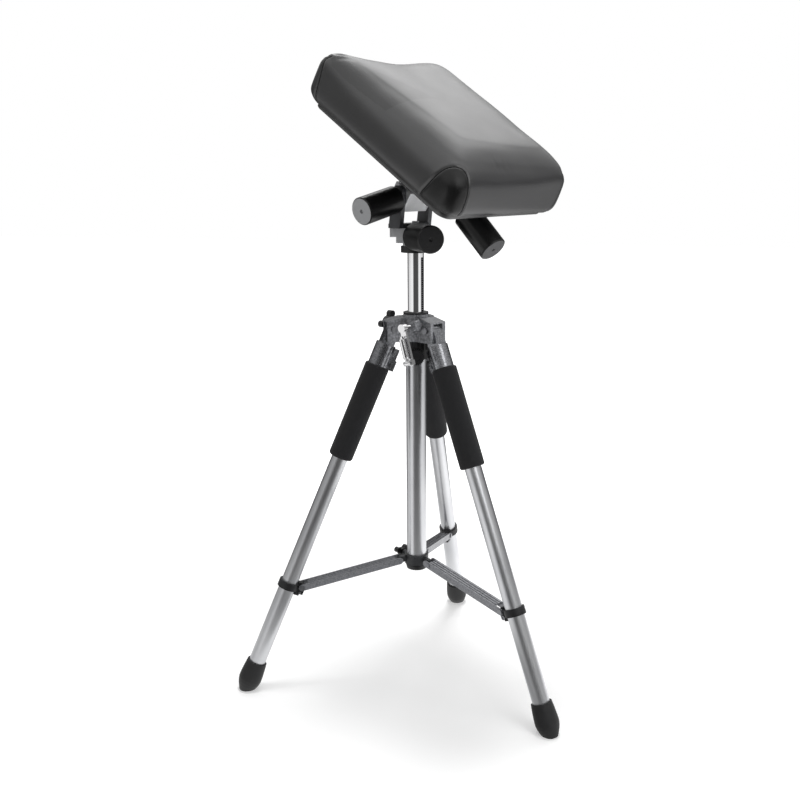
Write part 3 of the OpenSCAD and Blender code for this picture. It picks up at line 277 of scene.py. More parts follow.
def birch_ply(name):
    """Birch plywood stained black: the long grain of the rotary cut still shows."""
    material, tree, shader, where = new_material(name)
    turned = add(tree, "ShaderNodeMapping", {
        "Vector": where, "Rotation": (0.0, -TILT, -PAN), "Scale": (0.12, 1.0, 1.0),
    }).outputs["Vector"]
    grain = noise(tree, turned, 5.0, 6.0, 0.65)
    colour = ramp(tree, grain, [(0.3, linear("#221f1d")), (0.7, linear("#353130"))])
    tree.links.new(colour, shader.inputs["Base Color"])
    shader.inputs["Roughness"].default_value = 0.7
    bump(tree, shader, grain, 0.1, 0.4)
    return material


def vinyl_cover(name, base, light):
    """PVC leathercloth over foam: pebbled grain and satin gloss, dark in the seams, painted shade in the
    petals.
    """
    pebble_mm = 1.3
    material, tree, shader, where = new_material(name)
    pebble = add(tree, "ShaderNodeTexVoronoi", {
        "Vector": where, "Scale": 1.0 / (pebble_mm * MM), "Smoothness": 0.4,
    }, feature="SMOOTH_F1").outputs["Distance"]
    cloud = noise(tree, where, 45.0, 3.0)
    colour = ramp(tree, cloud, [(0.3, linear(base)), (0.72, linear(light))])
    seam = add(tree, "ShaderNodeAttribute", attribute_name="seam").outputs["Fac"]
    petal_shade = add(tree, "ShaderNodeAttribute", attribute_name="petal_shade").outputs["Fac"]
    # Painted shade: the petals are darkened towards near-black, standing for the shade in the cushion's
    # corners
    petal_shaded_colour = mix(tree, petal_shade, colour, linear("#050505"))
    tree.links.new(mix(tree, seam, petal_shaded_colour, linear("#030303")), shader.inputs["Base Color"])
    dull = remap(tree, cloud, 0.34, 0.44)
    tree.links.new(dull, shader.inputs["Roughness"])
    shader.inputs["IOR"].default_value = 1.52
    # Painted shade: the petals' gloss is weakened too, so they reflect less of the room
    gloss = remap(tree, petal_shade, 1.0, 0.4)
    tree.links.new(gloss, shader.inputs["Specular IOR Level"])
    shader.inputs["Sheen Weight"].default_value = 0.06
    slow = bump(tree, shader, cloud, 0.8, 0.25)
    bump(tree, shader, pebble, 0.08, 0.35, slow)
    return material


def dress(names, material):
    """Puts a material on CAD nodes."""
    for name in names:
        mesh = NODES[name].data
        mesh.materials.clear()
        mesh.materials.append(material)


def sided(stem):
    """A node name for each of the three legs."""
    return [stem + "_" + side for side in LEGS]


def mesh_piece(name, verts, faces, material, body):
    """A smooth-shaded object with its points in model space, riding on a body."""
    mesh = bpy.data.meshes.new(name)
    mesh.from_pydata([tuple(v) for v in verts], [], faces)
    mesh.materials.append(material)
    for polygon in mesh.polygons:
        polygon.use_smooth = True
    obj = bpy.data.objects.new(name, mesh)
    bpy.context.scene.collection.objects.link(obj)
    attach(obj, body)


# Petals in the cushion's corners: which corner, how far their feet stand from it on the long side and
# on the end, in mm, and how much painted shade darkens and dulls them, from 0 as the cover to 1. The first
# is in the corner that the arm has worn, and follows WORN_SEAM
PETALS = (
    (1, -1, None, None, 1.0), (-1, 1, 53.0, 30.0, 0.3), (-1, -1, 23.0, 23.0, 0.2), (1, 1, 23.0, 20.0, 0.2),
)

# The seam round a plain petal: each point's share of the long side's foot, its shift outward there, its share
# of the end's foot, its shift outward there, and its height, with shifts and heights in mm
PLAIN_SEAM = (
    (1.00, 0.0, 0.00, 2.0, -1.0), (0.86, 0.0, 0.00, 2.0, 32.0), (0.66, 0.0, 0.00, 2.0, 55.0),
    (0.46, 0.0, 0.00, 0.0, 70.0), (0.00, -15.0, 0.00, -3.0, 78.0), (0.00, -6.0, 0.30, 0.0, 74.0),
    (0.00, 0.0, 0.55, 0.0, 61.0), (0.00, 2.0, 0.72, 0.0, 44.0), (0.00, 2.0, 0.90, 0.0, 24.0),
    (0.00, 2.0, 1.00, 0.0, -1.0),
)

# The seam in the worn corner: each point's distance in from the end, its distance in from the long
# side, and its height, in mm
WORN_SEAM = (
    (57.0, -2.0, -1.0), (53.5, 1.0, 14.0), (50.0, 0.9, 23.5), (46.9, 1.4, 33.4), (43.4, 2.8, 45.5),
    (39.5, 9.1, 56.8), (33.5, 16.1, 63.4), (25.5, 23.0, 65.0), (17.0, 25.6, 61.6), (10.5, 25.6, 56.0),
    (5.9, 24.9, 49.6), (2.9, 25.7, 39.7), (2.5, 27.2, 29.4), (2.8, 28.6, 18.0), (-2.0, 30.0, -1.0),
)

# Slack in the cover: middle, direction, length, depth and pitch of each gathered patch, in mm
WRINKLES = (
    ((-137.0, -98.0, 76.0), (0.55, 0.80, 0.0), 16.0, 1.5, 7.0),
    ((-141.0, -84.0, 70.0), (0.25, 0.95, 0.1), 14.0, 1.2, 6.0),
    ((131.0, -26.0, 75.0), (0.95, -0.10, -0.2), 10.0, 0.45, 5.0),
    ((136.0, -12.0, 72.0), (0.80, 0.45, -0.2), 8.0, 0.35, 5.0),
)

# How far each upper corner stands off the plain block, in mm: which corner, and the way it moves
CORNER_MOVES = (
    ((-1, -1), (0.0, 0.0, 4.5)), ((-1, 1), (2.5, -2.0, -5.0)),
    ((1, -1), (0.0, 0.0, 0.0)), ((1, 1), (-3.0, -7.0, -5.0)),
)

# Brightness of the pale screens round the stand, by azimuth as a share of the circle: 0 and 1 are
# behind the stand, 0.5 is the camera's side and 0.75 is on the right
PANELS = (
    (0.0, 0.10), (0.15, 0.12), (0.19, 0.75), (0.385, 1.10), (0.415, 0.08),
    (0.585, 0.08), (0.62, 1.10), (0.80, 0.75), (0.85, 0.12), (1.0, 0.10),
)


def size(name, description, default):
    """A setting in metres."""
    return bpy.props.FloatProperty(name=name, description=description, default=default, unit="LENGTH")


def angle(name, description, degrees):
    """A setting shown in degrees."""
    return bpy.props.FloatProperty(name=name, description=description, default=math.radians(degrees),
                                   subtype="ANGLE")


def power(name, description, watts):
    """A lamp's power."""
    return bpy.props.FloatProperty(name=name, description=description, default=watts, unit="POWER")


class StandViewSettings(bpy.types.PropertyGroup):
    """Camera, lamps and backdrop."""

    lens: bpy.props.FloatProperty(name="Lens", description="Focal length on a 36 mm sensor", default=45.14)
    turn: angle("Turn", "Turn of the view about the mast", 17.105)
    pitch: angle("Pitch", "Downward tilt of the camera", 12.94)
    roll: angle("Roll", "Lean of the camera", -0.40)
    camera_place: bpy.props.FloatVectorProperty(
        name="Camera", description="Camera's place from the mast's foot",
        default=(-0.02411, -1.46196, 0.77355), subtype="TRANSLATION")
    top_power: power("Top lamp", "Power of the softbox overhead", 17.0)
    over_power: power("Small top lamp", "Power of the lamp that casts the shadows", 30.0)
    front_power: power("Front lamp", "Power of the softbox at the front", 9.0)
    low_power: power("Low lamp", "Power of the softbox near the floor", 34.0)
    ambient: bpy.props.FloatProperty(name="Ambient", description="Light from all round", default=0.38)


class CushionSettings(bpy.types.PropertyGroup):
    """Sizes of the padded rest."""

    length: size("Length", "Along the forearm", 0.308)
    width: size("Width", "Across the pad", 0.236)
    thick: size("Thickness", "Board to crown", 0.080)
    corner: size("Corner", "Radius of the upright corners", 0.012)
    soft_corner: size("Soft corner", "Radius of the corner that the arm wears", 0.026)
    worn_corner: size("Worn corner", "Radius of the lower corner on the far side", 0.020)
    edge: size("Edge", "Radius of the upper edge at the upper end", 0.012)
    soft_edge: size("Soft edge", "What the lower end's edge has more of", 0.018)
    arm_edge: size("Arm edge", "What the long edge under the arm has more of", 0.021)
    foot: size("Foot", "Radius of the lower edge", 0.019)
    crown: size("Crown", "Fall from the middle of the top to its edges", 0.003)
    trough: size("Trough", "Dip that the arm has left at the upper end", 0.008)
    shrink: size("Shrink", "How much smaller the foam is before it swells", 0.0005)
    voxel: size("Voxel", "Grid of the remesh", 0.0064)
    cap: size("Cap", "Furthest that the cover may swell", 0.005)
    pressure: bpy.props.FloatProperty(name="Pressure", description="Push of the foam", default=4.0)
    evening: bpy.props.IntProperty(
        name="Evening", description="Passes that even out how far the cover swells", default=24)
    seam_depth: size("Seam depth", "How far a seam draws in", 0.0014)
    seam_width: size("Seam width", "Half width of a seam's groove", 0.0018)
    piping: size("Piping", "Radius of the bead in a seam", 0.0008)
    colour: bpy.props.StringProperty(name="Colour", description="Cover, sRGB hex", default="#131314")


# The sizes that the staples' node tree takes, each named as its setting is
STAPLE_SIZES = ("Spacing", "Crown", "Wire")


class StapleSettings(bpy.types.PropertyGroup):
    """Staples that hold the cover under the board."""

    spacing: size("Spacing", "From staple to staple", 0.022)
    crown: size("Crown", "Length of a staple", 0.010)
    wire: size("Wire", "Width of the wire", 0.0012)


class ARMREST_OT_stage(bpy.types.Operator):
    """Sets the camera, lamps, floor and world"""

    bl_idname = "armrest.stage"
    bl_label = "Stage"

    def execute(self, context):
        settings = context.scene.stand_view
        scene = context.scene
        scene.view_settings.view_transform = "Standard"

        pitch, roll = settings.pitch, settings.roll
        ahead = Vector((0.0, math.cos(pitch), -math.sin(pitch)))
        up = Vector((0.0, math.sin(pitch), math.cos(pitch)))
        side = Vector((1.0, 0.0, 0.0))
        right = math.cos(roll) * side + math.sin(roll) * up
        over = -math.sin(roll) * side + math.cos(roll) * up
        turn = Matrix.Rotation(settings.turn, 4, "Z")
        pose = Matrix((
            (right.x, over.x, -ahead.x, settings.camera_place[0]),
            (right.y, over.y, -ahead.y, settings.camera_place[1]),
            (right.z, over.z, -ahead.z, settings.camera_place[2]),
            (0.0, 0.0, 0.0, 1.0),
        ))
        lens = bpy.data.cameras.new("view")
        lens.lens = settings.lens
        lens.sensor_width = 36.0
        lens.sensor_fit = "HORIZONTAL"
        camera = bpy.data.objects.new("view", lens)
        camera.matrix_world = Matrix.Translation((0.0, MAST_Y, 0.0)) @ turn @ pose
        scene.collection.objects.link(camera)
        scene.camera = camera

        self.lamp("softbox_top", (-0.05, 1.15, 2.40), (0.0, 0.0, 0.75), 1.6, 1.7, settings.top_power)
        self.lamp("softbox_over", (0.0, 0.02, 2.75), (0.0, 0.0, 0.0), 0.40, 0.40, settings.over_power, False)
        self.lamp("softbox_front", (1.7, -1.9, 1.9), (0.0, 0.0, 0.45), 1.1, 1.4, settings.front_power)
        self.lamp("softbox_low", (1.7, -0.9, 0.25), (0.1, -0.1, 0.75), 1.0, 0.9, settings.low_power, False)
        self.world(scene, settings.ambient)
        self.floor(scene)
        return {"FINISHED"}

    def lamp(self, name, place, aim, width, height, watts, glossy=True):
        """A softbox, which gloss shows or not."""
        data = bpy.data.lights.new(name, "AREA")
        data.shape = "RECTANGLE"
        data.size = width
        data.size_y = height
        data.energy = watts
        lamp = bpy.data.objects.new(name, data)
        lamp.location = place
        lamp.visible_glossy = glossy
        lamp.rotation_euler = (Vector(aim) - Vector(place)).to_track_quat("-Z", "Y").to_euler()
        bpy.context.scene.collection.objects.link(lamp)

    def panels(self, tree, direction):
        """Pale screens round the stand with dark gaps between them, which chrome shows as stripes."""
        turn = bpy.context.scene.stand_view.turn
        rightward = dot(tree, direction, (math.cos(turn), math.sin(turn), 0.0))
        frontward = dot(tree, direction, (math.sin(turn), -math.cos(turn), 0.0))
        azimuth = add(tree, "ShaderNodeMath", {0: rightward, 1: frontward}, operation="ARCTAN2")
        spread = remap(tree, azimuth.outputs["Value"], 0.0, 1.0, start=-math.pi, end=math.pi)
        return ramp(tree, spread, [(place, grey(value)) for place, value in PANELS])

    def world(self, scene, ambient):
        """A grey dome for light, white to the camera, and pale above to gloss."""
        world = bpy.data.worlds.new("studio")
        scene.world = world
        world.use_nodes = True
        tree = world.node_tree
        tree.nodes.clear()
        path = add(tree, "ShaderNodeLightPath")
        seen = path.outputs["Is Camera Ray"]
        gloss = path.outputs["Is Glossy Ray"]
        direction = add(tree, "ShaderNodeTexCoord").outputs["Generated"]
        height = add(tree, "ShaderNodeSeparateXYZ", {"Vector": direction}).outputs["Z"]
        panels = mix(tree, 1.0, self.panels(tree, direction), grey(0.32), "MULTIPLY")
        above = ramp(tree, height, [(0.10, grey(0.0)), (0.50, grey(0.75)), (0.80, grey(0.95))])
        dome = mix(tree, 1.0, panels, above, "LIGHTEN")
        soft = add(tree, "ShaderNodeBackground", {"Color": grey(1.0), "Strength": ambient})
        shine = add(tree, "ShaderNodeBackground", {"Color": dome, "Strength": 1.0})
        white = add(tree, "ShaderNodeBackground", {"Color": grey(1.0), "Strength": 1.0})
        lit = add(tree, "ShaderNodeMixShader", {0: gloss, 1: soft.outputs[0], 2: shine.outputs[0]})
        shown = add(tree, "ShaderNodeMixShader", {0: seen, 1: lit.outputs[0], 2: white.outputs[0]})
        add(tree, "ShaderNodeOutputWorld", {"Surface": shown.outputs[0]})

    def floor(self, scene):
        """A white floor that keeps the stand's shadow and burns out round it, brighter behind to gloss."""
        material = bpy.data.materials.new("studio_floor")
        material.use_nodes = True
        tree = material.node_tree
        tree.nodes.clear()
        path = add(tree, "ShaderNodeLightPath")
        seen = path.outputs["Is Camera Ray"]
        paint = add(tree, "ShaderNodeBsdfDiffuse", {"Color": linear("#e4e4e4")})
        lift = add(tree, "ShaderNodeEmission", {"Color": grey(1.0)})
        where = add(tree, "ShaderNodeTexCoord").outputs["Object"]
        away = add(tree, "ShaderNodeVectorMath", {0: where}, operation="LENGTH").outputs["Value"]
        glow = remap(tree, away, 0.34, 1.0, start=0.40, end=0.90)
        strength = add(tree, "ShaderNodeMath", {0: seen, 1: glow}, operation="MULTIPLY").outputs[0]
        tree.links.new(strength, lift.inputs["Strength"])
        both = add(tree, "ShaderNodeAddShader", {0: paint.outputs[0], 1: lift.outputs[0]})
        fade = remap(tree, away, 1.0, 0.0, start=0.8, end=1.1)
        backward = (0.6, 0.8, 0.0)
        lit = remap(tree, dot(tree, where, backward), 0.32, 1.4, start=-0.1, end=0.25)
        near = add(tree, "ShaderNodeMath", {0: lit, 1: fade}, operation="MULTIPLY").outputs[0]
        shine = mix(tree, 1.0, near, self.panels(tree, where), "LIGHTEN")
        mirrored = add(tree, "ShaderNodeEmission", {"Color": shine, "Strength": 1.0})
        shown = add(tree, "ShaderNodeMixShader", {
            0: path.outputs["Is Glossy Ray"], 1: both.outputs[0], 2: mirrored.outputs[0],
        })
        add(tree, "ShaderNodeOutputMaterial", {"Surface": shown.outputs[0]})
        half, drop = 9.0, 0.0004
        mesh = bpy.data.meshes.new("floor")
        corners = ((-half, -half), (half, -half), (half, half), (-half, half))
        mesh.from_pydata([(x, y, -drop) for x, y in corners], [], [(0, 1, 2, 3)])
        mesh.materials.append(material)
        floor = bpy.data.objects.new("floor", mesh)
        scene.collection.objects.link(floor)


class ARMREST_OT_tripod(bpy.types.Operator):
    """Finishes the legs, braces, casting and centre tube"""

    bl_idname = "armrest.tripod"
    bl_label = "Tripod"

    def execute(self, context):
        cast = hammered_enamel("hammered_enamel_dark", "#8b8c90", "#626366", 3.2, 0.3)
        sleeve = hammered_enamel("hammered_enamel_sleeve", "#a2a3a6", "#8b8c90", 2.6, 0.95, 0.20, 0.30)
        brace = hammered_enamel("hammered_enamel_brace", "#96979b", "#7b7c80", 2.2, 0.6)
        tube = anodised_tube("satin_anodised_tube", "#dfe0e2", "#d2d3d6")
        nylon = moulded_plastic("black_nylon", "#0d0d0e", "#17171a")
        zinc = zinc_steel("zinc_fasteners")
        dress(["cast_spider"], cast)
        dress(sided("leg_socket"), sleeve)
        dress(sided("brace"), brace)
        dress(sided("leg_tube") + ["centre_tube"], tube)
        dress(sided("brace_clamp") + ["neck_collar", "tube_end_cap", "top_bushing", "drag_knob",
                                      "hub_knob", "column_lock_knob", "column_guide", "column_collar"], nylon)
        dress(sided("leg_fasteners") + ["leg_pivot_pins", "hub_pins", "column_lock_screw", "drag_screw",
                                        "hub_screw"], zinc)
        dress(sided("foam_grip"), foam_rubber("black_foam_rubber"))
        dress(sided("rubber_foot"), moulded_plastic("moulded_rubber", "#0e0e0f", "#1a1a1b", 0.55, 0.9, 0.05))
        dress(["spreader_hub"], powder_coat("powder_coat_hub", "#2b2c2e", "#37383a"))
        return {"FINISHED"}


class ARMREST_OT_column(bpy.types.Operator):
    """Finishes the lifting column, its rack, pinion and crank"""

    bl_idname = "armrest.column"
    bl_label = "Column and Crank"

    def execute(self, context):
        chrome = chrome_plate("chrome_plate")
        dress(["column_tube", "crank_shaft", "crank_arm", "crank_handle"], chrome)
        dress(["column_rack", "drive_pinion", "crank_hinge_pin"], zinc_steel("cut_steel_teeth", "#8c8d90"))
        return {"FINISHED"}


class ARMREST_OT_head(bpy.types.Operator):
    """Finishes the turning and tilting head and its lock handles"""

    bl_idname = "armrest.head"
    bl_label = "Head and Handles"

    def execute(self, context):
        light = powder_coat("blasted_casting", "#c4c5c7", "#d4d5d6", 0.45, 1.0)
        dress(["pan_base", "tilt_block"], light)
        dress(["pan_yoke"], powder_coat("powder_coat_yoke", "#3a3b3d", "#494a4d", 0.45))
        dress(["top_bracket", "roll_block"], powder_coat("powder_coat_black", "#101011", "#1b1b1d", 0.4))
        dress(["tilt_axle", "roll_axle", "board_screws", "pan_handle_rod", "tilt_handle_rod",
               "side_handle_rod"], zinc_steel("zinc_rods"))
        pan_way = Vector((math.cos(PAN_HANDLE), math.sin(PAN_HANDLE), 0.0))
        tilt_way = Matrix.Rotation(PAN, 3, "Z") @ Vector((0.0, -1.0, -math.tan(TILT_HANDLE_DROP)))
        side_way = pad_matrix().to_3x3() @ Vector((1.0, 0.0, -math.tan(SIDE_HANDLE_DROP)))
        # Painted reflection: the tilt handle's pale end and the side handle's grey end stand for light those
        # ends reflect
        dress(["pan_handle"], turned_handle("pan_handle_moulded", "#070708", "#08080a", 0.38, pan_way))
        dress(["tilt_handle"], turned_handle("tilt_handle_gloss_painted_end", "#090909", "#a2a3a5", 0.3, tilt_way))
        dress(["side_handle"], turned_handle("side_handle_gloss_painted_end", "#090909", "#333335", 0.3, side_way))
        dress(["pad_board"], birch_ply("stained_birch_plywood"))
        return {"FINISHED"}


def rounded_ring(half_l, half_w, radii, count):
    """Points of a rounded rectangle, evenly turned through its four corners."""
    points = []
    for i in range(count):
        quarter = i * 4 // count
        radius = radii[quarter]
        share = i * 4 / count - quarter
        sx = 1 if quarter in (0, 3) else -1
        sy = 1 if quarter < 2 else -1
        turn = math.radians(quarter * 90 + share * 90 * count / (count - 4) if share else quarter * 90)
        points.append((sx * (half_l - radius) + radius * math.cos(turn),
                       sy * (half_w - radius) + radius * math.sin(turn)))
    return points


def curve_point(points, i, t):
    """The place at share t of the stretch after point i, on a smooth curve through the points."""
    before, after = points[max(i - 1, 0)], points[min(i + 2, len(points) - 1)]
    place = points[i] * (2 * t ** 3 - 3 * t ** 2 + 1) + points[i + 1] * (3 * t ** 2 - 2 * t ** 3)
    place += (points[i + 1] - before) * 0.5 * (t ** 3 - 2 * t ** 2 + t)
    place += (after - points[i]) * 0.5 * (t ** 3 - t ** 2)
    return place


class ARMREST_OT_cushion(bpy.types.Operator):
    """Makes the padded rest: a foam block in a seamed vinyl cover"""

    bl_idname = "armrest.cushion"
    bl_label = "Cushion"

    def execute(self, context):
        s = context.scene.cushion
        cover = vinyl_cover("vinyl_leathercloth", s.colour, "#19191b")
        obj = self.block(s)
        self.swell(obj, s)
        self.shape(obj, s)
        lines = self.seams(obj, s)
        obj.data.transform(pad_matrix())
        obj.data.materials.clear()
        obj.data.materials.append(cover)
        for polygon in obj.data.polygons:
            polygon.use_smooth = True
        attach(obj, "pad")
        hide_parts("pad_cushion")
        self.beads(lines, s, moulded_plastic("vinyl_piping", "#020202", "#040404", 0.55))
        return {"FINISHED"}

    def block(self, s):
        """The foam's outline from rings, remeshed to an even grid.

        The rings go up the lower edge, the sides and the upper edge, and then in over the top. The upper
        edge is softer at the near end and under the arm, where it also reaches further in than down."""
        hl, hw, top = s.length / 2 - s.shrink, s.width / 2 - s.shrink, s.thick - s.shrink
        count, foot_end, side_end, edge_end, levels = 96, 4, 8, 16, 24
        corners = (s.worn_corner, s.corner, s.corner, s.soft_corner)
        verts, faces = [], []
        for k in range(levels + 1):
            for x, y in rounded_ring(hl, hw, corners, count):
                away = Vector((x / hl, y / hw)).normalized()
                worn = min(1.0, max(0.0, 0.5 + 0.6 * (away.x - away.y)))
                edge = s.edge + s.soft_edge * worn
                soft = max(0.0, -away.y) ** 2 * min(1.0, (1.0 + x / hl) * 2.5) + 0.7 * max(0.0, away.x) ** 2
                reach = edge + s.arm_edge * soft
                drop = edge + 0.55 * s.arm_edge * soft
                if k <= foot_end:
                    turn = math.radians(k * 90 / foot_end)
                    inset, z = s.foot * (1 - math.sin(turn)), s.foot * (1 - math.cos(turn))
                elif k <= side_end:
                    share = (k - foot_end) / (side_end - foot_end)
                    inset, z = 0.0, s.foot + share * (top - s.foot - drop - s.crown)
                elif k <= edge_end:
                    turn = math.radians((k - side_end) * 90 / (edge_end - side_end))
                    inset, z = reach * (1 - math.cos(turn)), top - s.crown - drop * (1 - math.sin(turn))
                else:
                    share = (k - edge_end) / (levels - edge_end + 0.5)
                    inset, z = reach + share * (hw - reach), top - s.crown * (1 - share) ** 2
                shift = 1 - inset / hw
                verts.append((x * shift, y * shift, z))
        for k in range(levels):
            for i in range(count):
                j = (i + 1) % count
                faces.append((k * count + i, k * count + j, (k + 1) * count + j, (k + 1) * count + i))
        faces.append(tuple(reversed(range(count))))
        faces.append(tuple(levels * count + i for i in range(count)))
        mesh = bpy.data.meshes.new("cushion")
        mesh.from_pydata(verts, [], faces)
        obj = bpy.data.objects.new("cushion", mesh)
        bpy.context.scene.collection.objects.link(obj)
        remesh = obj.modifiers.new("grid", "REMESH")
        remesh.mode = "VOXEL"
        remesh.voxel_size = s.voxel
        self.bake(obj)
        return obj

    def bake(self, obj):
        """Turns what the modifiers give into the object's own mesh."""
        bpy.context.view_layer.update()
        made = bpy.data.meshes.new_from_object(obj.evaluated_get(bpy.context.evaluated_depsgraph_get()))
        obj.modifiers.clear()
        old = obj.data
        obj.data = made
        bpy.data.meshes.remove(old)

    def swell(self, obj, s):
        """Cloth under pressure, held along the board, and each point's way capped."""
        held_up_to, eased_over, eased_weight, frames = 0.008, 0.012, 0.4, 20
        rest = [v.co.copy() for v in obj.data.vertices]
        held = obj.vertex_groups.new(name="held")
        for v in obj.data.vertices:
            eased = max(0.0, 1.0 - (v.co.z - held_up_to) / eased_over) * eased_weight
            weight = 1.0 if v.co.z < held_up_to else eased
            held.add([v.index], weight, "REPLACE")
        cloth = obj.modifiers.new("cover", "CLOTH")
        cloth.settings.quality = 6
        cloth.settings.mass = 0.35
        cloth.settings.tension_stiffness = 30
        cloth.settings.compression_stiffness = 30
        cloth.settings.shear_stiffness = 12
        cloth.settings.bending_stiffness = 2.0
        cloth.settings.use_pressure = True
        cloth.settings.uniform_pressure_force = s.pressure
        cloth.settings.effector_weights.gravity = 0.0
        cloth.settings.vertex_group_mass = "held"
        cloth.collision_settings.use_collision = False
        cloth.point_cache.frame_start = 1
        cloth.point_cache.frame_end = frames
        scene = bpy.context.scene
        for step in range(1, frames + 1):
            scene.frame_set(step)
        self.bake(obj)
        scene.frame_set(1)
        ways = np.array([v.co - start for v, start in zip(obj.data.vertices, rest)])
        length = np.linalg.norm(ways, axis=1, keepdims=True)
        ways *= np.minimum(1.0, s.cap / np.maximum(length, 1e-9))
        ends = np.array([edge.vertices[:] for edge in obj.data.edges])
        count = np.bincount(ends.ravel(), minlength=len(ways))[:, None]
        for _ in range(s.evening):
            total = np.zeros_like(ways)
            np.add.at(total, ends[:, 0], ways[ends[:, 1]])
            np.add.at(total, ends[:, 1], ways[ends[:, 0]])
            ways = 0.5 * (ways + total / count)
        for v, start, way in zip(obj.data.vertices, rest, ways):
            v.co = start + Vector(way)
        obj.vertex_groups.clear()

    def shape(self, obj, s):
        """Two subdivisions, then the trough, the corners, the bulge, the tucks and the cover's slack."""
        smooth = obj.modifiers.new("even", "SMOOTH")
        smooth.factor = 0.5
        smooth.iterations = 2
        fine = obj.modifiers.new("fine", "SUBSURF")
        fine.levels = 2
        fine.render_levels = 2
        self.bake(obj)
        hl, hw = s.length / 2, s.width / 2
        moves = {(sx > 0, sy > 0): way for (sx, sy), way in CORNER_MOVES}
        bulge = Vector((0.0, 0.0025, 0.0065))
        tucked_below, side_tuck, end_tuck, side_pull = 0.045, 0.0020, 0.0040, 0.0012
        # u runs from -1 at the upper end to 1 at the near end, and w from -1 to 1 across
        for v in obj.data.vertices:
            x, y, z = v.co
            high = max(0.0, z / s.thick - 0.35) / 0.65
            u, w = x / hl, y / hw
            move = Vector(moves[u > 0, w > 0]) * (MM * abs(u) ** 4 * abs(w) ** 4)
            far = max(0.0, -u) ** 1.5
            near = max(0.0, u) ** 2
            dip = s.trough * (far + 0.15 * near) * math.exp(-((w - 0.15) / 0.45) ** 2)
            full = (1 - u * u) * max(0.0, w) ** 2 * high
            v.co += (move - Vector((0.0, 0.0, dip))) * high ** 1.5 + bulge * full
            low = max(0.0, 1.0 - z / tucked_below)
            v.co.z += side_tuck * low * max(0.0, -w) ** 6
            v.co.x += end_tuck * low * max(0.0, u) ** 6 * (1.0 + w) / 2
            pull = side_pull * math.sin(min(1.0, max(0.0, z / s.thick / 0.7)) * math.pi)
            v.co.x -= math.copysign(pull * max(0.0, abs(u) - 0.9) * 10 * (1 - abs(w) ** 3), u)
            v.co.y -= math.copysign(pull * max(0.0, abs(w) - 0.9) * 10 * (1 - abs(u) ** 3), w)
        for place, along, reach, depth, pitch in WRINKLES:
            middle, line = Vector(place) * MM, Vector(along).normalized()
            for v in obj.data.vertices:
                to = v.co - middle
                if to.length < reach * 2.5 * MM:
                    across = to.cross(line).length
                    fade = math.exp(-(to.dot(line) / (reach * MM)) ** 2 - (across / (pitch * 1.6 * MM)) ** 2)
                    v.co.z -= depth * MM * fade * math.cos(across / (pitch * MM) * math.pi)

    def seam_guide(self, sx, sy, long_foot, end_foot, hl, hw):
        """Points near a petal's seam, from its foot on the long side over its top to that on the end."""
        if long_foot is None:
            points = [(hl - ahead * MM, hw - beside * MM, z * MM) for ahead, beside, z in WORN_SEAM]
        else:
            points = [
                (hl - (along * long_foot - out) * MM, hw - (across * end_foot - over) * MM, z * MM)
                for along, out, across, over, z in PLAIN_SEAM
            ]
        return [Vector((sx * x, sy * y, z)) for x, y, z in points]

    def seams(self, obj, s):
        """Sews a petal into each corner, and returns each seam as places with their normals.

        The cover draws in along a seam. Two attributes tell the material how near a seam is, and how
        much painted shade darkens the petal within it."""
        hl, hw = s.length / 2, s.width / 2
        steps, lip_width, lip_height, blend = 16, 3.5, 0.35, 0.0025
        bvh = BVHTree.FromObject(obj, bpy.context.evaluated_depsgraph_get())
        dense, lines = [], []
        for sx, sy, long_foot, end_foot, painted_shade in PETALS:
            points = self.seam_guide(sx, sy, long_foot, end_foot, hl, hw)
            line = []
            for i in range(len(points) - 1):
                for k in range(steps):
                    line.append(bvh.find_nearest(curve_point(points, i, k / steps))[:2])
            lines.append(line)
            for i, (found, normal) in enumerate(line):
                ahead = line[min(i + 1, len(line) - 1)][0] - line[max(i - 1, 0)][0]
                dense.append((found, ahead.cross(normal).normalized() * (-sx * sy), painted_shade))
        tree = KDTree(len(dense))
        for i, (found, _, _) in enumerate(dense):
            tree.insert(found, i)
        tree.balance()
        mark = obj.data.attributes.new("seam", "FLOAT", "POINT")
        petal_shade_layer = obj.data.attributes.new("petal_shade", "FLOAT", "POINT")
        normals = [v.normal.copy() for v in obj.data.vertices]
        for v in obj.data.vertices:
            found, i, gap = tree.find(v.co)
            near = math.exp(-(gap / s.seam_width) ** 2)
            wide = math.exp(-(gap / (s.seam_width * lip_width)) ** 2)
            mark.data[v.index].value = min(1.0, near * 1.1)
            _, inward, painted_shade = dense[i]
            # Painted shade: each point inside a petal gets that petal's share of shade, faded in from its
            # seam
            petal_shade_layer.data[v.index].value = painted_shade * min(1.0, max(0.0, (v.co - found).dot(inward) / blend))
            v.co -= normals[v.index] * (s.seam_depth * near - s.seam_depth * lip_height * (wide - near))
        return lines

    def beads(self, lines, s, cover):
        """A thin black bead along every seam, sunk in its groove."""
        verts, faces, sides, sunk = [], [], 6, 0.85
        for line in lines:
            first = len(verts)
            for i, (place, normal) in enumerate(line):
                ahead = (line[min(i + 1, len(line) - 1)][0] - line[max(i - 1, 0)][0]).normalized()
                across = ahead.cross(normal).normalized()
                middle = place - normal * s.seam_depth * sunk
                for k in range(sides):
                    turn = 2 * math.pi * k / sides
                    verts.append(middle + (across * math.cos(turn) + normal * math.sin(turn)) * s.piping)
            for i in range(len(line) - 1):
                for k in range(sides):
                    a, b = first + i * sides + k, first + i * sides + (k + 1) % sides
                    faces.append((a, b, b + sides, a + sides))
            faces.append(tuple(first + k for k in reversed(range(sides))))
            faces.append(tuple(len(verts) - sides + k for k in range(sides)))
        matrix = pad_matrix()
        mesh_piece("cover_seams", [matrix @ v for v in verts], faces, cover, "pad")


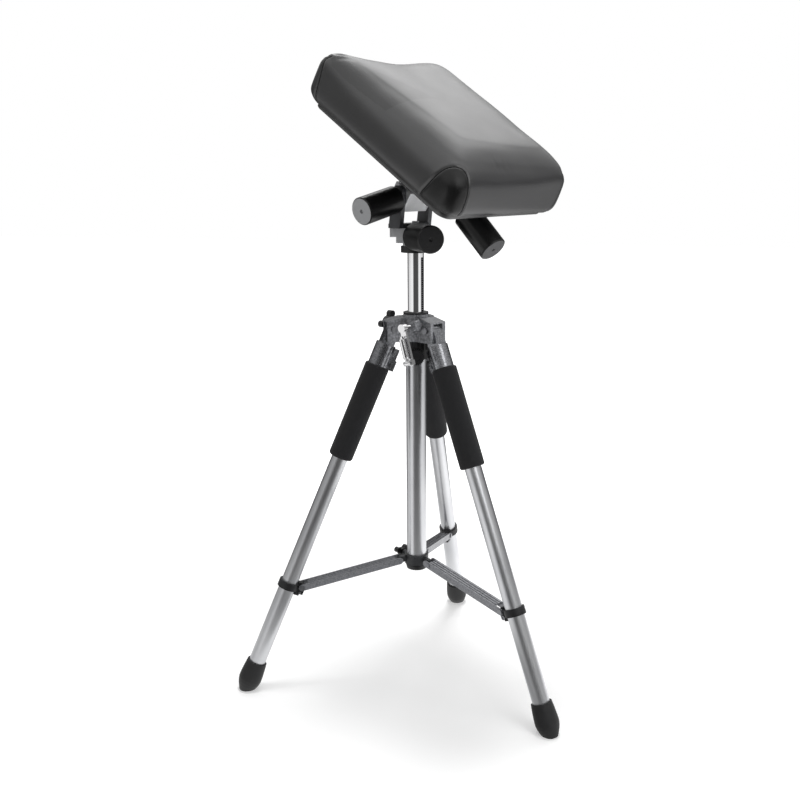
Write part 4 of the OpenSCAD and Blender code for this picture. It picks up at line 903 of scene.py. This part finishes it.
class ARMREST_OT_staples(bpy.types.Operator):
    """Fastens the cover under the board with a row of staples"""

    bl_idname = "armrest.staples"
    bl_label = "Staples"

    def execute(self, context):
        s = context.scene.staples
        cushion = context.scene.cushion
        wire = zinc_steel("staple_wire", "#a9aaac")
        self.wrap(cushion, bpy.data.materials["vinyl_leathercloth"])
        inset, corner, below, count = 0.033, 0.010, 0.0015, 64
        outline = rounded_ring(cushion.length / 2 - inset, cushion.width / 2 - inset, (corner,) * 4, count)
        mesh = bpy.data.meshes.new("staple_line")
        ring = [(i, (i + 1) % count) for i in range(count)]
        mesh.from_pydata([(x, y, -below) for x, y in outline], ring, [])
        obj = bpy.data.objects.new("staples", mesh)
        bpy.context.scene.collection.objects.link(obj)
        tree = self.staple_tree(wire)
        modifier = obj.modifiers.new("staples", "NODES")
        modifier.node_group = tree
        for item in tree.interface.items_tree:
            if item.item_type == "SOCKET" and item.in_out == "INPUT" and item.name in STAPLE_SIZES:
                modifier[item.identifier] = getattr(s, item.name.lower())
        bpy.context.view_layer.update()
        made = bpy.data.meshes.new_from_object(obj.evaluated_get(bpy.context.evaluated_depsgraph_get()))
        obj.modifiers.clear()
        obj.data = made
        made.transform(pad_matrix())
        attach(obj, "pad")
        return {"FINISHED"}

    def wrap(self, cushion, cover):
        """The cover's margin, turned under the board and pleated at the corners."""
        half_l, half_w = cushion.length / 2, cushion.width / 2
        count, pleats_from, pleat_depth, pleats = 256, 0.80, 0.5, 96.0
        # How far in from the pad's outline each row lies, and its height, in mm
        rows = ((13.0, 8.5), (12.4, 8.5), (12.2, 3.5), (12.2, -0.3), (12.8, -1.0), (14.5, -1.3), (28.0, -1.3),
                (40.0, -1.2), (42.0, -0.9), (42.0, -0.05), (13.0, -0.05))
        verts, faces = [], []
        for inset, z in rows:
            radius = max(3.0, 29.0 - inset) * MM
            ring = rounded_ring(half_l - inset * MM, half_w - inset * MM, (radius,) * 4, count)
            for x, y in ring:
                corner = abs(x) / (half_l - inset * MM) * abs(y) / (half_w - inset * MM)
                turned_under = z < -0.8 and inset > 13.0
                pleat = max(0.0, corner - pleats_from) / 0.20 if turned_under else 0.0
                fold = pleat_depth * pleat * abs(math.cos(math.atan2(y, x) * pleats))
                verts.append((x, y, (z - fold) * MM))
        for k in range(len(rows)):
            for i in range(count):
                j = (i + 1) % count
                after = (k + 1) % len(rows)
                faces.append((k * count + i, after * count + i, after * count + j, k * count + j))
        mesh_piece("cover_wrap", [pad_matrix() @ Vector(v) for v in verts], faces, cover, "pad")

    def staple_tree(self, wire):
        """Boxes set along the outline, each with its crown along the edge."""
        tree = bpy.data.node_groups.new("staple_row", "GeometryNodeTree")
        face = tree.interface
        face.new_socket("Geometry", in_out="INPUT", socket_type="NodeSocketGeometry")
        for name in STAPLE_SIZES:
            face.new_socket(name, in_out="INPUT", socket_type="NodeSocketFloat")
        face.new_socket("Geometry", in_out="OUTPUT", socket_type="NodeSocketGeometry")
        given = add(tree, "NodeGroupInput")
        curve = add(tree, "GeometryNodeMeshToCurve", {"Mesh": given.outputs["Geometry"]}).outputs["Curve"]
        points = add(tree, "GeometryNodeCurveToPoints", {"Curve": curve, "Length": given.outputs["Spacing"]},
                     mode="LENGTH")
        sides = add(tree, "ShaderNodeCombineXYZ", {
            "X": given.outputs["Wire"], "Y": given.outputs["Wire"], "Z": given.outputs["Crown"],
        }).outputs["Vector"]
        box = add(tree, "GeometryNodeMeshCube", {"Size": sides}).outputs["Mesh"]
        placed = add(tree, "GeometryNodeInstanceOnPoints", {
            "Points": points.outputs["Points"], "Instance": box, "Rotation": points.outputs["Rotation"],
        }).outputs["Instances"]
        solid = add(tree, "GeometryNodeRealizeInstances", {"Geometry": placed}).outputs["Geometry"]
        painted = add(tree, "GeometryNodeSetMaterial", {"Geometry": solid, "Material": wire})
        add(tree, "NodeGroupOutput", {"Geometry": painted.outputs["Geometry"]})
        return tree


class ARMREST_PT_panel(bpy.types.Panel):
    """The stand's pieces, in the order that they are made"""

    bl_label = "Arm Rest Stand"
    bl_idname = "ARMREST_PT_panel"
    bl_space_type = "VIEW_3D"
    bl_region_type = "UI"
    bl_category = "Arm Rest"

    def draw(self, context):
        for operator in OPERATORS:
            self.layout.operator(operator.bl_idname)
        for group in ("stand_view", "cushion", "staples"):
            settings = getattr(context.scene, group)
            box = self.layout.box()
            for name in settings.__annotations__:
                box.prop(settings, name)


OPERATORS = (ARMREST_OT_stage, ARMREST_OT_tripod, ARMREST_OT_column, ARMREST_OT_head,
             ARMREST_OT_cushion, ARMREST_OT_staples)
CLASSES = (StandViewSettings, CushionSettings, StapleSettings) + OPERATORS + (ARMREST_PT_panel,)


def register():
    for cls in CLASSES:
        bpy.utils.register_class(cls)
    bpy.types.Scene.stand_view = bpy.props.PointerProperty(type=StandViewSettings)
    bpy.types.Scene.cushion = bpy.props.PointerProperty(type=CushionSettings)
    bpy.types.Scene.staples = bpy.props.PointerProperty(type=StapleSettings)


def unregister():
    del bpy.types.Scene.staples
    del bpy.types.Scene.cushion
    del bpy.types.Scene.stand_view
    for cls in reversed(CLASSES):
        bpy.utils.unregister_class(cls)


def main():
    register()
    bpy.ops.armrest.stage()
    bpy.ops.armrest.tripod()
    bpy.ops.armrest.column()
    bpy.ops.armrest.head()
    bpy.ops.armrest.cushion()
    bpy.ops.armrest.staples()
    bpy.context.view_layer.update()


if __name__ == "__main__":
    main()
